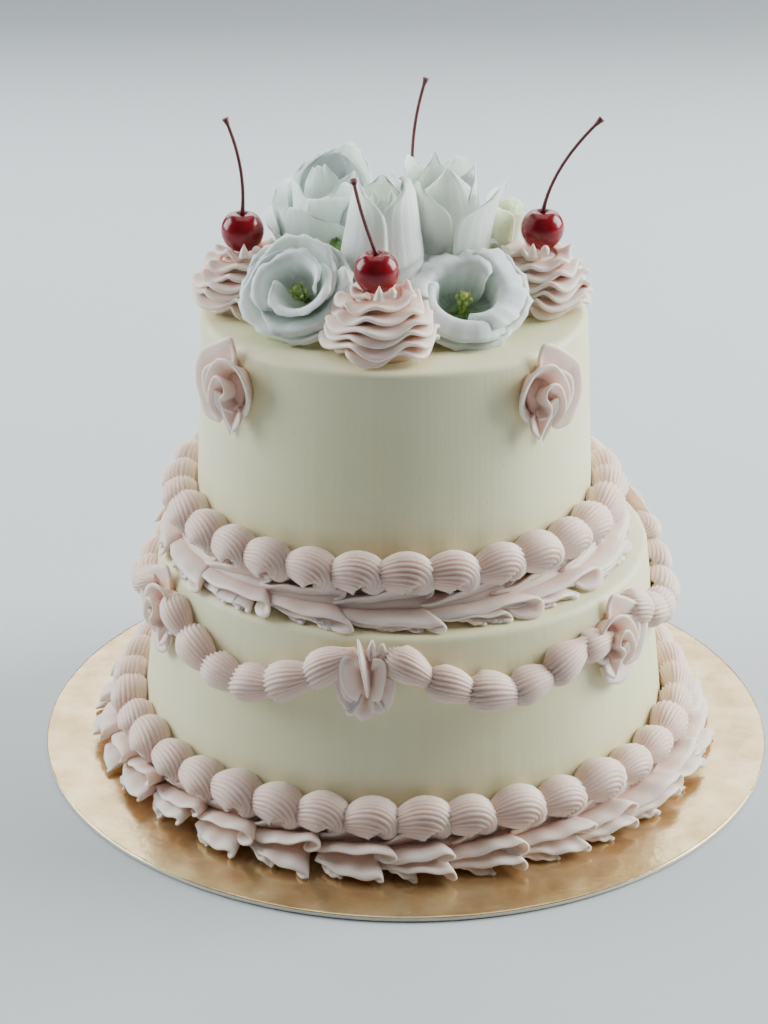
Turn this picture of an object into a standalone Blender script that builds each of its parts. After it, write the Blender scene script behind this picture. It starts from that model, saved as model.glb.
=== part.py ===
# A two-tier buttercream cake on a round card, with piped borders and swags, cherries and white flowers.
# Lengths are in millimetres until a mesh is made. Azimuth 0 is the front (-Y), and it grows towards +X.
import math
import random

import bmesh
import bpy
from mathutils import Vector

MM = 0.001
GAP = 0.3  # clearance between pieces that touch
CURVED_GAP = 0.5  # the same, where a flat facet lies on a round wall
RING_GAP = 1.2  # between a ruffle and the shells on it, whose facets cut across

# Card
CARD_DIAMETER = 304.8
CARD_THICKNESS = 2.0
CARD_TOP = CARD_THICKNESS
CARD_STEPS = 52

# Lower tier, an 8 inch cake with its coat of buttercream
LOWER_AXIS = (-1.2, 0.0)
LOWER_FLOOR = CARD_TOP + GAP
LOWER_TOP = CARD_TOP + 88.7
LOWER_FOOT_RADIUS = 108.5
LOWER_RIM_RADIUS = 100.5
LOWER_FOOT_END = CARD_TOP + 20.0  # height at which the taper starts
LOWER_STEPS = 44

# Upper tier, a 6 inch cake set a little to the left
UPPER_AXIS = (-5.2, 0.0)
UPPER_FLOOR = LOWER_TOP + GAP
UPPER_TOP = CARD_TOP + 185.6
UPPER_FOOT_RADIUS = 80.5
UPPER_RIM_RADIUS = 76.8
UPPER_FOOT_END = LOWER_TOP + 18.0
UPPER_STEPS = 36
RIM_ROUNDING = 3.0

# Shell borders: a round body against the wall, its ribs running along the ring, heads to the right
SHELL_RADIUS = 8.4
SHELL_OFFSET = 6.4  # from the wall to the middle of a shell
SHELL_PHASES = (0.0, 0.36, 0.80)  # along one shell, tail to head
SHELL_SWELL = (0.66, 0.93, 1.0)
SHELL_ANGLES = (-78, -50, -22, 6, 34, 62, 90, 118, 190)
SHELL_RIB_DEPTH = 0.13
SHELL_JITTER = 0.04
LOWER_SHELLS = 38
LOWER_SHELL_FLOOR = 10.0  # underside of the shells above the card
UPPER_SHELLS = 30
UPPER_SHELL_FLOOR = 11.6  # underside of the shells above the lower tier

# Ruffle borders: blades that fan out of a hub low against the wall
RUFFLE_HUB_OFFSET = 4.6
RUFFLE_HUB_HEIGHT = 3.4
RUFFLE_PHASES = (0.0, 0.40, 0.86)
RUFFLE_SPREAD = (0.62, 0.86, 1.0)
RUFFLE_ANGLES = (-24, -5, 7, 19, 31, 43, 55, 98, 150, 214)
RUFFLE_TIPS = (-5, 19, 43)
RUFFLE_SHARES = (0.56, 0.80, 1.0)
RUFFLE_VALLEY = 0.74
LOWER_FOLDS = 29
LOWER_RUFFLE_REACH = 19.5
UPPER_FOLDS = 21
UPPER_RUFFLE_REACH = 13.6
FOLD_JITTER = 0.07

# Garland on the lower tier: six swags of shells hung between six rosettes
ROSETTE_AZIMUTHS = (-65.5, -7.7, 52.4, 112.0, 172.0, 233.0)
ROSETTE_HEIGHTS = (73.0, 74.0, 70.5, 72.0, 74.0, 72.0)  # above the card
UPRIGHT_ROSETTES = (1, 4)  # those with a tall upright blade; the others are nested curls
ROSETTE_HALF_WIDTH = 12.6
ROSETTE_HALF_HEIGHT = 16.5
SWAG_SHELLS = 8
SWAG_RADIUS = 6.4
SWAG_OFFSET = 4.3
SWAG_LOW = (63.4, 66.0, 64.5, 65.0, 64.0, 65.0)  # lowest point above the card
SWAG_RISE = 24.0
SWAG_POWER = 1.7
SWAG_PHASES = (0.0, 0.36, 0.80)
SWAG_SWELL = (0.66, 0.93, 1.0)
SWAG_ANGLES = (-74, -37, 0, 37, 74, 180)

# Rosettes on the side of the upper tier
SIDE_AZIMUTHS = (-51.5, 46.0, 136.0, 226.0)
SIDE_HEIGHT = 169.0  # above the card
SIDE_HALF_WIDTH = 11.8
SIDE_HALF_HEIGHT = 18.5

# Swirls on the top, each with a cherry in it: place as x, y and turn in degrees
SWIRLS = {
    "front": (-9.0, -51.0, 0.0),
    "left": (-62.0, -1.0, 30.0),
    "right": (50.0, 1.0, 55.0),
    "back": (2.0, 50.0, 80.0),
}
SWIRL_LOBES = 8
SWIRL_RINGS = (  # radius, height, depth of the lobes, turn in degrees
    (21.0, 0.0, 1.0, 0),
    (23.6, 4.2, 1.9, 8),
    (19.4, 9.4, 1.4, 24),
    (18.8, 14.0, 1.7, 38),
    (13.4, 17.8, 1.1, 54),
    (12.8, 22.4, 1.3, 66),
    (8.8, 25.6, 1.0, 78),
)
SWIRL_DISH = 21.6  # height of the hollow under the cherry
CHERRY_RADIUS = 8.5
CHERRY_DIMPLE = 2.6
CHERRY_MIDDLE = 31.2  # above the top of the cake
CHERRY_STEPS = 10
STEM_RADIUS = 0.75
STEM_LIFT = 1.2  # foot of a stem above the bottom of the dimple
STEM_TIPS = {  # top end of each stem, as x, y and height above the card
    "front": (-19.5, -64.0, 255.0),
    "left": (-70.0, -3.0, 262.0),
    "right": (74.5, 2.0, 261.0),
    "back": (7.2, 50.0, 265.0),
}
STEM_BOWS = {"front": (-1.0, 3.0), "left": (2.5, 0.0), "right": (-4.0, 0.0), "back": (-2.0, 0.0)}

random.seed(11)
scene_collection = bpy.context.scene.collection


def clear_scene():
    for old in list(bpy.data.objects):
        bpy.data.objects.remove(old, do_unlink=True)


def new_material(name, colour, roughness, metallic=0.0):
    made = bpy.data.materials.new(name)
    made.use_nodes = True
    shader = made.node_tree.nodes["Principled BSDF"]
    shader.inputs["Base Color"].default_value = (*colour, 1.0)
    shader.inputs["Roughness"].default_value = roughness
    shader.inputs["Metallic"].default_value = metallic
    return made


def new_collection(name):
    made = bpy.data.collections.new(name)
    scene_collection.children.link(made)
    return made


def around(azimuth, radius, height, axis=(0.0, 0.0)):
    """A point at this azimuth in degrees round a vertical axis."""
    turn = math.radians(azimuth)
    return (axis[0] + radius * math.sin(turn), axis[1] - radius * math.cos(turn), height)


def wall_radius(height, tier):
    """Radius of a tier's side at a height above the origin."""
    floor, top, foot, rim = tier["foot_end"], tier["top"] - RIM_ROUNDING, tier["foot"], tier["rim"]
    share = min(max((height - floor) / (top - floor), 0.0), 1.0)
    return foot + (rim - foot) * share


LOWER = {
    "axis": LOWER_AXIS,
    "foot_end": LOWER_FOOT_END,
    "top": LOWER_TOP,
    "foot": LOWER_FOOT_RADIUS,
    "rim": LOWER_RIM_RADIUS,
}
UPPER = {
    "axis": UPPER_AXIS,
    "foot_end": UPPER_FOOT_END,
    "top": UPPER_TOP,
    "foot": UPPER_FOOT_RADIUS,
    "rim": UPPER_RIM_RADIUS,
}


def add_solid(name, points, faces, material, collection, smooth_below=40.0):
    """One closed mesh from points in millimetres, its faces turned outwards."""
    mesh = bpy.data.meshes.new(name)
    mesh.from_pydata([tuple(c * MM for c in point) for point in points], [], faces)
    body = bmesh.new()
    body.from_mesh(mesh)
    bmesh.ops.remove_doubles(body, verts=body.verts, dist=0.02 * MM)
    bmesh.ops.recalc_face_normals(body, faces=body.faces)
    if body.calc_volume(signed=True) < 0:
        bmesh.ops.reverse_faces(body, faces=body.faces)
    bmesh.ops.triangulate(body, faces=body.faces)
    body.to_mesh(mesh)
    body.free()
    mesh.shade_smooth()
    mesh.set_sharp_from_angle(angle=math.radians(smooth_below))
    mesh.materials.append(material)
    made = bpy.data.objects.new(name, mesh)
    collection.objects.link(made)
    return made


def loft_faces(rows, columns, closed_rows):
    """Quads between rows of points, each row a closed loop. An open loft gets two end faces."""
    faces = []
    for row in range(rows if closed_rows else rows - 1):
        following = (row + 1) % rows
        for column in range(columns):
            beside = (column + 1) % columns
            near, far = row * columns, following * columns
            faces.append((near + column, near + beside, far + beside, far + column))
    if not closed_rows:
        faces.append(tuple(range(columns)))
        faces.append(tuple((rows - 1) * columns + column for column in range(columns)))
    return faces


def turned(name, profile, steps, place, material, collection):
    """A solid of revolution about Z: the profile runs from the top of the axis down its outer side."""
    mesh = bpy.data.meshes.new(name)
    mesh.from_pydata(
        [(radius * MM, 0.0, height * MM) for radius, height in profile],
        [(index, index + 1) for index in range(len(profile) - 1)],
        [],
    )
    mesh.materials.append(material)
    made = bpy.data.objects.new(name, mesh)
    made.location = Vector(place) * MM
    collection.objects.link(made)
    screw = made.modifiers.new("Turn", "SCREW")
    screw.steps = screw.render_steps = steps
    screw.use_merge_vertices = True
    screw.merge_threshold = 0.00001
    screw.use_smooth_shade = True
    return made


def tier_profile(tier, floor):
    rim, top = tier["rim"], tier["top"]
    return [
        (0.0, top),
        (rim - RIM_ROUNDING, top),
        (rim, top - RIM_ROUNDING),
        (tier["foot"], tier["foot_end"]),
        (tier["foot"], floor),
        (0.0, floor),
    ]


def reach_to_circle(start, angle, centre, radius):
    """Distance from start along an angle to a circle, or None where the ray misses it."""
    direction = (math.cos(angle), math.sin(angle))
    towards = (centre[0] - start[0], centre[1] - start[1])
    along = towards[0] * direction[0] + towards[1] * direction[1]
    aside = towards[0] ** 2 + towards[1] ** 2 - along**2
    if along <= 0 or aside >= radius**2:
        return None
    return along - math.sqrt(radius**2 - aside)


def limited(start, angle, wanted, wall, floor, ball=None):
    """The wanted distance along an angle, cut short at the wall, the floor or a round neighbour."""
    limits = [wanted]
    if math.cos(angle) < -1e-6:
        limits.append((start[0] - wall) / -math.cos(angle))
    if math.sin(angle) < -1e-6:
        limits.append((start[1] - floor) / -math.sin(angle))
    hit = reach_to_circle(start, angle, *ball) if ball else None
    if hit is not None:
        limits.append(hit)
    return min(limits)


def border(name, tier, count, phases, section_of, floor, ball, material, collection):
    """A piped ring round a tier. section_of gives the hub, and the angle and length of each rib from it."""
    rows = []
    wall = tier["foot"] + GAP
    for piece in range(count):
        for phase in range(len(phases)):
            azimuth = 360.0 * (piece + phases[phase]) / count
            hub, spokes = section_of(piece, phase)
            for angle, wanted in spokes:
                turn = math.radians(angle)
                length = limited(hub, turn, wanted, wall, floor, ball)
                radius = hub[0] + length * math.cos(turn)
                rows.append(around(azimuth, radius, hub[1] + length * math.sin(turn), tier["axis"]))
    faces = loft_faces(count * len(phases), len(spokes), True)
    return add_solid(name, rows, faces, material, collection)


def shell_sections(tier, count, underside):
    """Shells that all rest on one level, and swell from a thin tail to a round head."""
    sizes = [1.0 + random.uniform(-SHELL_JITTER, SHELL_JITTER) for _ in range(count)]

    def section_of(piece, phase):
        full = SHELL_RADIUS * SHELL_SWELL[phase] * sizes[piece]
        hub = (tier["foot"] + SHELL_OFFSET, underside + full)
        valley = full * (1.0 - SHELL_RIB_DEPTH)
        return hub, [(angle, full if index % 2 else valley) for index, angle in enumerate(SHELL_ANGLES)]

    return section_of


def ruffle_sections(tier, count, floor, reach):
    """Blades that lie flat at the tail of a fold and fan out at its head."""
    sizes = [1.0 + random.uniform(-FOLD_JITTER, 0.0) for _ in range(count)]
    hub = (tier["foot"] + RUFFLE_HUB_OFFSET, floor + RUFFLE_HUB_HEIGHT)

    def section_of(piece, phase):
        spread = RUFFLE_SPREAD[phase]
        full = reach * RUFFLE_SHARES[phase] * sizes[piece]
        made = []
        for angle in RUFFLE_ANGLES:
            if angle in RUFFLE_TIPS:
                made.append((angle * spread, full))
            elif 0 < angle < 60:
                made.append((angle * spread, full * RUFFLE_VALLEY))
            else:
                made.append((angle, reach if angle > 0 else full * RUFFLE_VALLEY))
        return hub, made

    return section_of


def swag_centre(index, share):
    """Azimuth and height of a swag's middle line, from one rosette to the next."""
    first = ROSETTE_AZIMUTHS[index]
    last = ROSETTE_AZIMUTHS[(index + 1) % 6] + (360.0 if index == 5 else 0.0)
    azimuth = first + (last - first) * share
    low = CARD_TOP + SWAG_LOW[index]
    return azimuth, low + SWAG_RISE * abs(2.0 * share - 1.0) ** SWAG_POWER


def swag(index, material, collection):
    """One hanging string of shells, open at both ends beside its rosettes."""
    first = ROSETTE_AZIMUTHS[index]
    last = ROSETTE_AZIMUTHS[(index + 1) % 6] + (360.0 if index == 5 else 0.0)
    arc = math.radians(last - first) * wall_radius(CARD_TOP + SWAG_LOW[index], LOWER)
    inset = (ROSETTE_HALF_WIDTH + 0.6) / arc
    points = []
    stations = [(shell + phase) / SWAG_SHELLS for shell in range(SWAG_SHELLS) for phase in SWAG_PHASES]
    swells = list(SWAG_SWELL) * SWAG_SHELLS
    for station, swell in zip(stations + [1.0], swells + [SWAG_SWELL[0]]):
        share = inset + (1.0 - 2.0 * inset) * station
        azimuth, height = swag_centre(index, share)
        ahead = swag_centre(index, share + 0.001)
        radius = wall_radius(height, LOWER) + GAP
        run = math.radians(ahead[0] - azimuth) * radius
        slope = math.atan2(ahead[1] - height, run)
        for number, angle in enumerate(SWAG_ANGLES):
            turn = math.radians(angle)
            length = SWAG_RADIUS * swell * (1.0 if number % 2 else 0.87)
            outward = SWAG_OFFSET + length * math.cos(turn)
            across = length * math.sin(turn)
            level = height + across * math.cos(slope)
            aside = math.degrees(-across * math.sin(slope) / radius)
            wall = wall_radius(level, LOWER) + GAP
            points.append(around(azimuth + aside, wall + max(outward, 0.0), level, LOWER_AXIS))
    columns = len(SWAG_ANGLES)
    faces = loft_faces(len(points) // columns, columns, False)
    return add_solid(f"swag_{index + 1}", points, faces, material, collection)


def wall_relief(name, place, half_size, outline, rings, material, collection):
    """A rosette on a wall. Each ring is a share of the outline, its heights off the wall and its shift up."""
    tier, azimuth, middle = place
    half_width, half_height = half_size
    shape, count = outline
    points = []
    for share, heights, rise in rings:
        for number in range(count):
            turn = 2.0 * math.pi * number / count
            aside = half_width * shape(turn) * share * math.cos(turn)
            level = middle + rise + half_height * shape(turn) * share * math.sin(turn)
            off = heights(turn)
            radius = wall_radius(level, tier) + CURVED_GAP + off
            points.append(around(azimuth + math.degrees(aside / radius), radius, level, tier["axis"]))
    faces = []
    for ring in range(len(rings) - 1):
        for number in range(count):
            beside = (number + 1) % count
            near, far = ring * count, (ring + 1) * count
            faces.append((near + number, near + beside, far + beside, far + number))
    foot = len(points)
    radius = wall_radius(middle, tier) + CURVED_GAP
    points.append(around(azimuth, radius, middle, tier["axis"]))
    faces += [(number, (number + 1) % count, foot) for number in range(count)]
    last = (len(rings) - 1) * count
    faces.append(tuple(last + number for number in range(count)))
    return add_solid(name, points, faces, material, collection)


def teardrop(turn):
    """Round at the top and drawn in to a tail at the bottom."""
    return 1.0 - 0.16 * (0.5 - 0.5 * math.sin(turn)) ** 2 * (1.0 - abs(math.sin(turn))) * 4.0


def star(turn):
    """Six blunt points, one of them straight up."""
    return 0.92 + 0.11 * math.cos(6.0 * (turn - 0.5 * math.pi))


TEARDROP = (teardrop, 10)  # outline and how many points it takes
STAR = (star, 12)


def curl_rings(lean):
    """Nested curls: a groove runs round the middle curl, open towards the lower side."""

    def crest(level, dip):
        return lambda turn: level - dip * (0.5 - 0.5 * math.cos(turn - lean))

    return (
        (0.94, crest(0.0, 0.0), 0.0),
        (1.0, crest(4.6, 1.6), 0.0),
        (0.80, crest(8.4, 3.0), 0.5),
        (0.56, crest(5.2, 1.0), 1.0),
        (0.40, crest(10.2, 3.0), 1.5),
        (0.14, crest(9.4, 1.0), 1.5),
    )


def blade_rings():
    """A star of upright blades, the tallest along its upright middle."""

    def blades(level, rise):
        return lambda turn: level + rise * abs(math.sin(turn)) ** 3

    return (
        (0.90, blades(0.0, 0.0), 0.0),
        (1.0, blades(4.4, 0.6), 0.0),
        (0.74, blades(7.6, 2.0), 0.5),
        (0.46, blades(5.6, 5.2), 1.0),
        (0.16, blades(10.0, 2.0), 1.5),
    )


def swirl(name, place, material, collection):
    """A ruffled swirl on the top of the cake, with a dish in it for the cherry."""
    x, y, start = place
    per_ring = 2 * SWIRL_LOBES
    points = []
    for level, (radius, height, depth, turn) in enumerate(SWIRL_RINGS):
        for number in range(per_ring):
            angle = math.radians(start + turn) + 2.0 * math.pi * number / per_ring
            lobe = depth if number % 2 else -depth
            peak = 1.4 if level == len(SWIRL_RINGS) - 1 and number % 2 else 0.0
            reach = radius + lobe
            level_z = UPPER_TOP + GAP + height + peak
            points.append((x + reach * math.cos(angle), y + reach * math.sin(angle), level_z))
    faces = loft_faces(len(SWIRL_RINGS), per_ring, False)
    upper_end = faces.pop()
    points.append((x, y, UPPER_TOP + SWIRL_DISH))
    dish = len(points) - 1
    for number in range(per_ring):
        faces.append((upper_end[number], upper_end[(number + 1) % per_ring], dish))
    return add_solid(name, points, faces, material, collection)


def cherry(name, place, material, collection):
    """A ball with a dimple at its top."""
    radius = CHERRY_RADIUS
    profile = [
        (0.0, radius - CHERRY_DIMPLE),
        (2.4, radius - 0.9),
        (0.61 * radius, 0.84 * radius),
        (0.96 * radius, 0.30 * radius),
        (0.97 * radius, -0.22 * radius),
        (0.72 * radius, -0.70 * radius),
        (0.0, -radius),
    ]
    return turned(name, profile, CHERRY_STEPS, place, material, collection)


def stem(name, foot, tip, bow, material, collection):
    """A thin stalk that bows sideways and thickens at its tip."""
    curve = bpy.data.curves.new(name, "CURVE")
    curve.dimensions = "3D"
    curve.bevel_depth = STEM_RADIUS * MM
    curve.bevel_resolution = 1
    curve.use_fill_caps = True
    curve.materials.append(material)
    shares = (0.0, 0.3, 0.62, 0.93, 1.0)
    widths = (1.35, 0.9, 0.8, 1.1, 1.9)
    line = curve.splines.new("POLY")
    line.points.add(len(shares) - 1)
    for point, share, width in zip(line.points, shares, widths):
        sideways = 4.0 * share * (1.0 - share)
        place = [foot[axis] + (tip[axis] - foot[axis]) * share for axis in range(3)]
        place[0] += bow[0] * sideways
        place[1] += bow[1] * sideways
        point.co = (*(value * MM for value in place), 1.0)
        point.radius = width
    made = bpy.data.objects.new(name, curve)
    collection.objects.link(made)
    return made


def tilted(place, azimuth, elevation, spin=0.0):
    """Axes of a flower that looks towards this azimuth and elevation: right, up and outward."""
    turn, lift = math.radians(azimuth), math.radians(elevation)
    out = Vector((math.sin(turn) * math.cos(lift), -math.cos(turn) * math.cos(lift), math.sin(lift)))
    right = Vector((math.cos(turn), math.sin(turn), 0.0))
    up = out.cross(right)
    twist = math.radians(spin)
    side = right * math.cos(twist) + up * math.sin(twist)
    return Vector(place), side, out.cross(side), out


def bloom(name, frame, rings, petals, per_petal, material, collection):
    """A cupped flower. Each ring is radius, height, and what a petal's middle adds to both."""
    middle, side, up, out = frame
    count = petals * per_petal
    points = []
    for radius, height, wider, taller in rings:
        for number in range(count):
            turn = 2.0 * math.pi * number / count
            crest = 0.5 + 0.5 * math.cos(petals * turn)
            reach = radius + wider * crest
            spot = middle + side * (reach * math.cos(turn)) + up * (reach * math.sin(turn))
            points.append(tuple(spot + out * (height + taller * crest)))
    return add_solid(name, points, loft_faces(len(rings), count, False), material, collection)


def stalk(name, frame, floor, material, collection):
    """A green stalk from the back of a tilted flower down to the cake."""
    middle, _, _, out = frame
    start = middle - out * (LISIANTHUS_DEPTH + GAP)
    elbow = start - out * min(4.0, 0.5 * (start.z - floor))
    curve = bpy.data.curves.new(name, "CURVE")
    curve.dimensions = "3D"
    curve.bevel_depth = STALK_RADIUS * MM
    curve.bevel_resolution = 1
    curve.use_fill_caps = True
    curve.materials.append(material)
    line = curve.splines.new("POLY")
    line.points.add(2)
    for point, place in zip(line.points, (start, elbow, Vector((elbow.x, elbow.y, floor)))):
        point.co = (*(place * MM), 1.0)
    made = bpy.data.objects.new(name, curve)
    collection.objects.link(made)
    return made


def leaf(name, frame, length, width, material, collection):
    """A thin wavy blade, with both faces split alike."""
    middle, side, up, out = frame
    thickness = 0.8
    rows = 5
    points = []
    for lower in (0, 1):
        for row in range(rows):
            share = row / (rows - 1)
            half = width * 0.5 * math.sin(math.pi * (0.08 + 0.88 * share))
            for aside in (-1, 0, 1):
                wave = 0.8 * math.sin(5.0 * share + aside) - thickness * lower
                spot = middle + up * (length * (share - 0.5)) + side * (half * aside)
                points.append(tuple(spot + out * wave))
    faces = []
    step = rows * 3
    for row in range(rows - 1):
        for column in range(2):
            a = row * 3 + column
            quad = (a, a + 1, a + 4, a + 3)
            for corners in ((quad[0], quad[1], quad[2]), (quad[0], quad[2], quad[3])):
                faces.append(corners)
                faces.append(tuple(corner + step for corner in reversed(corners)))
    left = [row * 3 for row in range(rows)]
    right = [row * 3 + 2 for row in range(rows - 2, -1, -1)]
    edge = left + [step - 2, step - 1] + right + [1]
    for number, first in enumerate(edge):
        second = edge[(number + 1) % len(edge)]
        faces.append((first, second, second + step, first + step))
    return add_solid(name, points, faces, material, collection)


def swollen(source, helpers):
    """A copy of a piece, pushed outwards by the clearance, to cut a neighbour with."""
    graph = bpy.context.evaluated_depsgraph_get()
    mesh = bpy.data.meshes.new_from_object(source.evaluated_get(graph))
    body = bmesh.new()
    body.from_mesh(mesh)
    body.normal_update()
    for vertex in body.verts:
        vertex.co += vertex.normal * (GAP + 0.1) * MM
    body.to_mesh(mesh)
    body.free()
    made = bpy.data.objects.new(f"around_{source.name}", mesh)
    made.matrix_world = source.matrix_world
    made.hide_render = True
    made.display_type = "WIRE"
    helpers.objects.link(made)
    return made


def keep_largest(mesh):
    """Drops the loose scraps that a cut leaves."""
    body = bmesh.new()
    body.from_mesh(mesh)
    left = set(body.verts)
    groups = []
    while left:
        group, edge = set(), [left.pop()]
        while edge:
            vertex = edge.pop()
            group.add(vertex)
            for link in vertex.link_edges:
                other = link.other_vert(vertex)
                if other in left:
                    left.remove(other)
                    edge.append(other)
        groups.append(group)
    groups.sort(key=len)
    scraps = [vertex for group in groups[:-1] for vertex in group]
    bmesh.ops.delete(body, geom=scraps, context="VERTS")
    bmesh.ops.triangulate(body, faces=body.faces)
    body.to_mesh(mesh)
    body.free()


def trim(piece, neighbours, helpers):
    """Cuts a piece back to the clearance from each of its neighbours, and applies the cut."""
    bpy.context.view_layer.update()
    cutters = [swollen(neighbour, helpers) for neighbour in neighbours]
    for cutter in cutters:
        cut = piece.modifiers.new("Clear", "BOOLEAN")
        cut.operation = "DIFFERENCE"
        cut.object = cutter
    graph = bpy.context.evaluated_depsgraph_get()
    mesh = bpy.data.meshes.new_from_object(piece.evaluated_get(graph))
    piece.modifiers.clear()
    old = piece.data
    piece.data = mesh
    bpy.data.meshes.remove(old)
    keep_largest(mesh)
    for cutter in cutters:
        bpy.data.objects.remove(cutter, do_unlink=True)


def build_tiers(cake, card, cream):
    radius = CARD_DIAMETER / 2.0
    profile = [(0.0, CARD_TOP), (radius, CARD_TOP), (radius, 0.0), (0.0, 0.0)]
    turned("board", profile, CARD_STEPS, (0.0, 0.0, 0.0), card, cake)
    turned("lower_tier", tier_profile(LOWER, LOWER_FLOOR), LOWER_STEPS, (*LOWER_AXIS, 0.0), cream, cake)
    turned("upper_tier", tier_profile(UPPER, UPPER_FLOOR), UPPER_STEPS, (*UPPER_AXIS, 0.0), cream, cake)


def build_borders(cake, pink):
    sets = (
        ("lower", LOWER, CARD_TOP, LOWER_SHELLS, LOWER_SHELL_FLOOR, LOWER_FOLDS, LOWER_RUFFLE_REACH),
        ("upper", UPPER, LOWER_TOP, UPPER_SHELLS, UPPER_SHELL_FLOOR, UPPER_FOLDS, UPPER_RUFFLE_REACH),
    )
    for name, tier, floor, shells, underside, folds, reach in sets:
        shell = shell_sections(tier, shells, floor + underside)
        border(f"{name}_foot_shells", tier, shells, SHELL_PHASES, shell, floor + GAP, None, pink, cake)
        largest = SHELL_RADIUS * (1.0 + SHELL_JITTER)
        ball = ((tier["foot"] + SHELL_OFFSET, floor + underside + largest), largest + RING_GAP)
        fold = ruffle_sections(tier, folds, floor, reach)
        border(f"{name}_foot_ruffle", tier, folds, RUFFLE_PHASES, fold, floor + GAP, ball, pink, cake)


def build_garland(cake, pink):
    for index in range(6):
        swag(index, pink, cake)
    for index, azimuth in enumerate(ROSETTE_AZIMUTHS):
        upright = index in UPRIGHT_ROSETTES
        rings = blade_rings() if upright else curl_rings(0.5 * math.pi + 0.5)
        outline = STAR if upright else TEARDROP
        place = (LOWER, azimuth, CARD_TOP + ROSETTE_HEIGHTS[index])
        size = (ROSETTE_HALF_WIDTH, ROSETTE_HALF_HEIGHT)
        wall_relief(f"garland_rosette_{index + 1}", place, size, outline, rings, pink, cake)
    for index, azimuth in enumerate(SIDE_AZIMUTHS):
        place = (UPPER, azimuth, CARD_TOP + SIDE_HEIGHT)
        size = (SIDE_HALF_WIDTH, SIDE_HALF_HEIGHT)
        wall_relief(f"side_rosette_{index + 1}", place, size, TEARDROP, curl_rings(0.5 * math.pi), pink, cake)


def build_swirls(cake, pink, red, dark_red):
    made = []
    for side, place in SWIRLS.items():
        made.append(swirl(f"swirl_{side}", place, pink, cake))
        middle = (place[0], place[1], UPPER_TOP + CHERRY_MIDDLE)
        made.append(cherry(f"cherry_{side}", middle, red, cake))
        foot = (middle[0], middle[1], middle[2] + CHERRY_RADIUS - CHERRY_DIMPLE + STEM_LIFT)
        x, y, height = STEM_TIPS[side]
        stem(f"stem_{side}", foot, (x, y, CARD_TOP + height), STEM_BOWS[side], dark_red, cake)
    return made


CUP_BOTTOM = -9.0
LISIANTHUS_DEPTH = 17.0
STALK_RADIUS = 1.9
LISIANTHUS = (  # radius, height, and what a petal's middle adds to both
    (2.0, -LISIANTHUS_DEPTH, 0.0, 0.0),
    (9.0, -14.0, 0.6, 0.0),
    (16.5, -6.0, 1.0, 0.0),
    (18.6, -0.6, 2.0, 1.4),
    (14.0, 1.6, 1.2, 1.2),
    (9.6, -1.4, 0.8, 0.6),
    (5.4, CUP_BOTTOM, 0.4, 0.0),
)
WIDE_LISIANTHUS = (
    (2.0, -LISIANTHUS_DEPTH, 0.0, 0.0),
    (11.0, -13.0, 0.8, 0.0),
    (21.0, -6.6, 1.4, -0.6),
    (22.6, -2.0, 2.2, 1.0),
    (16.0, 1.8, 1.0, 1.0),
    (11.4, -1.2, 0.6, 0.6),
    (6.6, CUP_BOTTOM, 0.4, 0.0),
)
CLOSED_BUD = (
    (3.0, 0.0, 0.0, 0.0),
    (9.4, 14.0, 0.8, 0.0),
    (12.0, 29.0, 1.0, 0.0),
    (9.0, 41.0, 0.8, 6.0),
    (6.4, 43.0, -0.6, 14.0),
    (4.4, 39.0, 0.0, 10.0),
    (3.0, 31.0, 0.0, 0.0),
)
OPEN_TULIP = (
    (3.4, 0.0, 0.0, 0.0),
    (11.0, 13.0, 1.0, 0.0),
    (15.4, 29.0, 2.0, 0.0),
    (15.0, 41.0, 2.4, 6.0),
    (15.2, 44.0, 1.6, 14.0),
    (12.4, 40.0, 1.6, 11.0),
    (8.0, 29.0, 0.0, 0.0),
)
RUFFLED_BLOOM = (
    (3.4, 0.0, 0.0, 0.0),
    (13.0, 10.0, 1.0, 0.0),
    (18.6, 23.0, 2.2, 0.0),
    (17.4, 37.0, 3.0, 5.0),
    (13.6, 48.0, 1.4, 9.0),
    (9.4, 46.0, 1.0, 5.0),
    (5.0, 37.0, 0.0, 0.0),
)
SMALL_BLOOM = (
    (1.6, 0.0, 0.0, 0.0),
    (2.4, 17.0, 0.2, 0.0),
    (6.4, 25.0, 1.0, 0.0),
    (7.0, 33.0, 0.8, 2.0),
    (3.0, 28.0, 0.0, 0.0),
)
HEART = (
    (1.2, CUP_BOTTOM + GAP, 0.0, 0.0),
    (2.8, -6.0, 0.8, 0.0),
    (2.4, -3.0, 1.2, 0.6),
    (0.7, -1.6, 0.4, 0.0),
)


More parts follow.
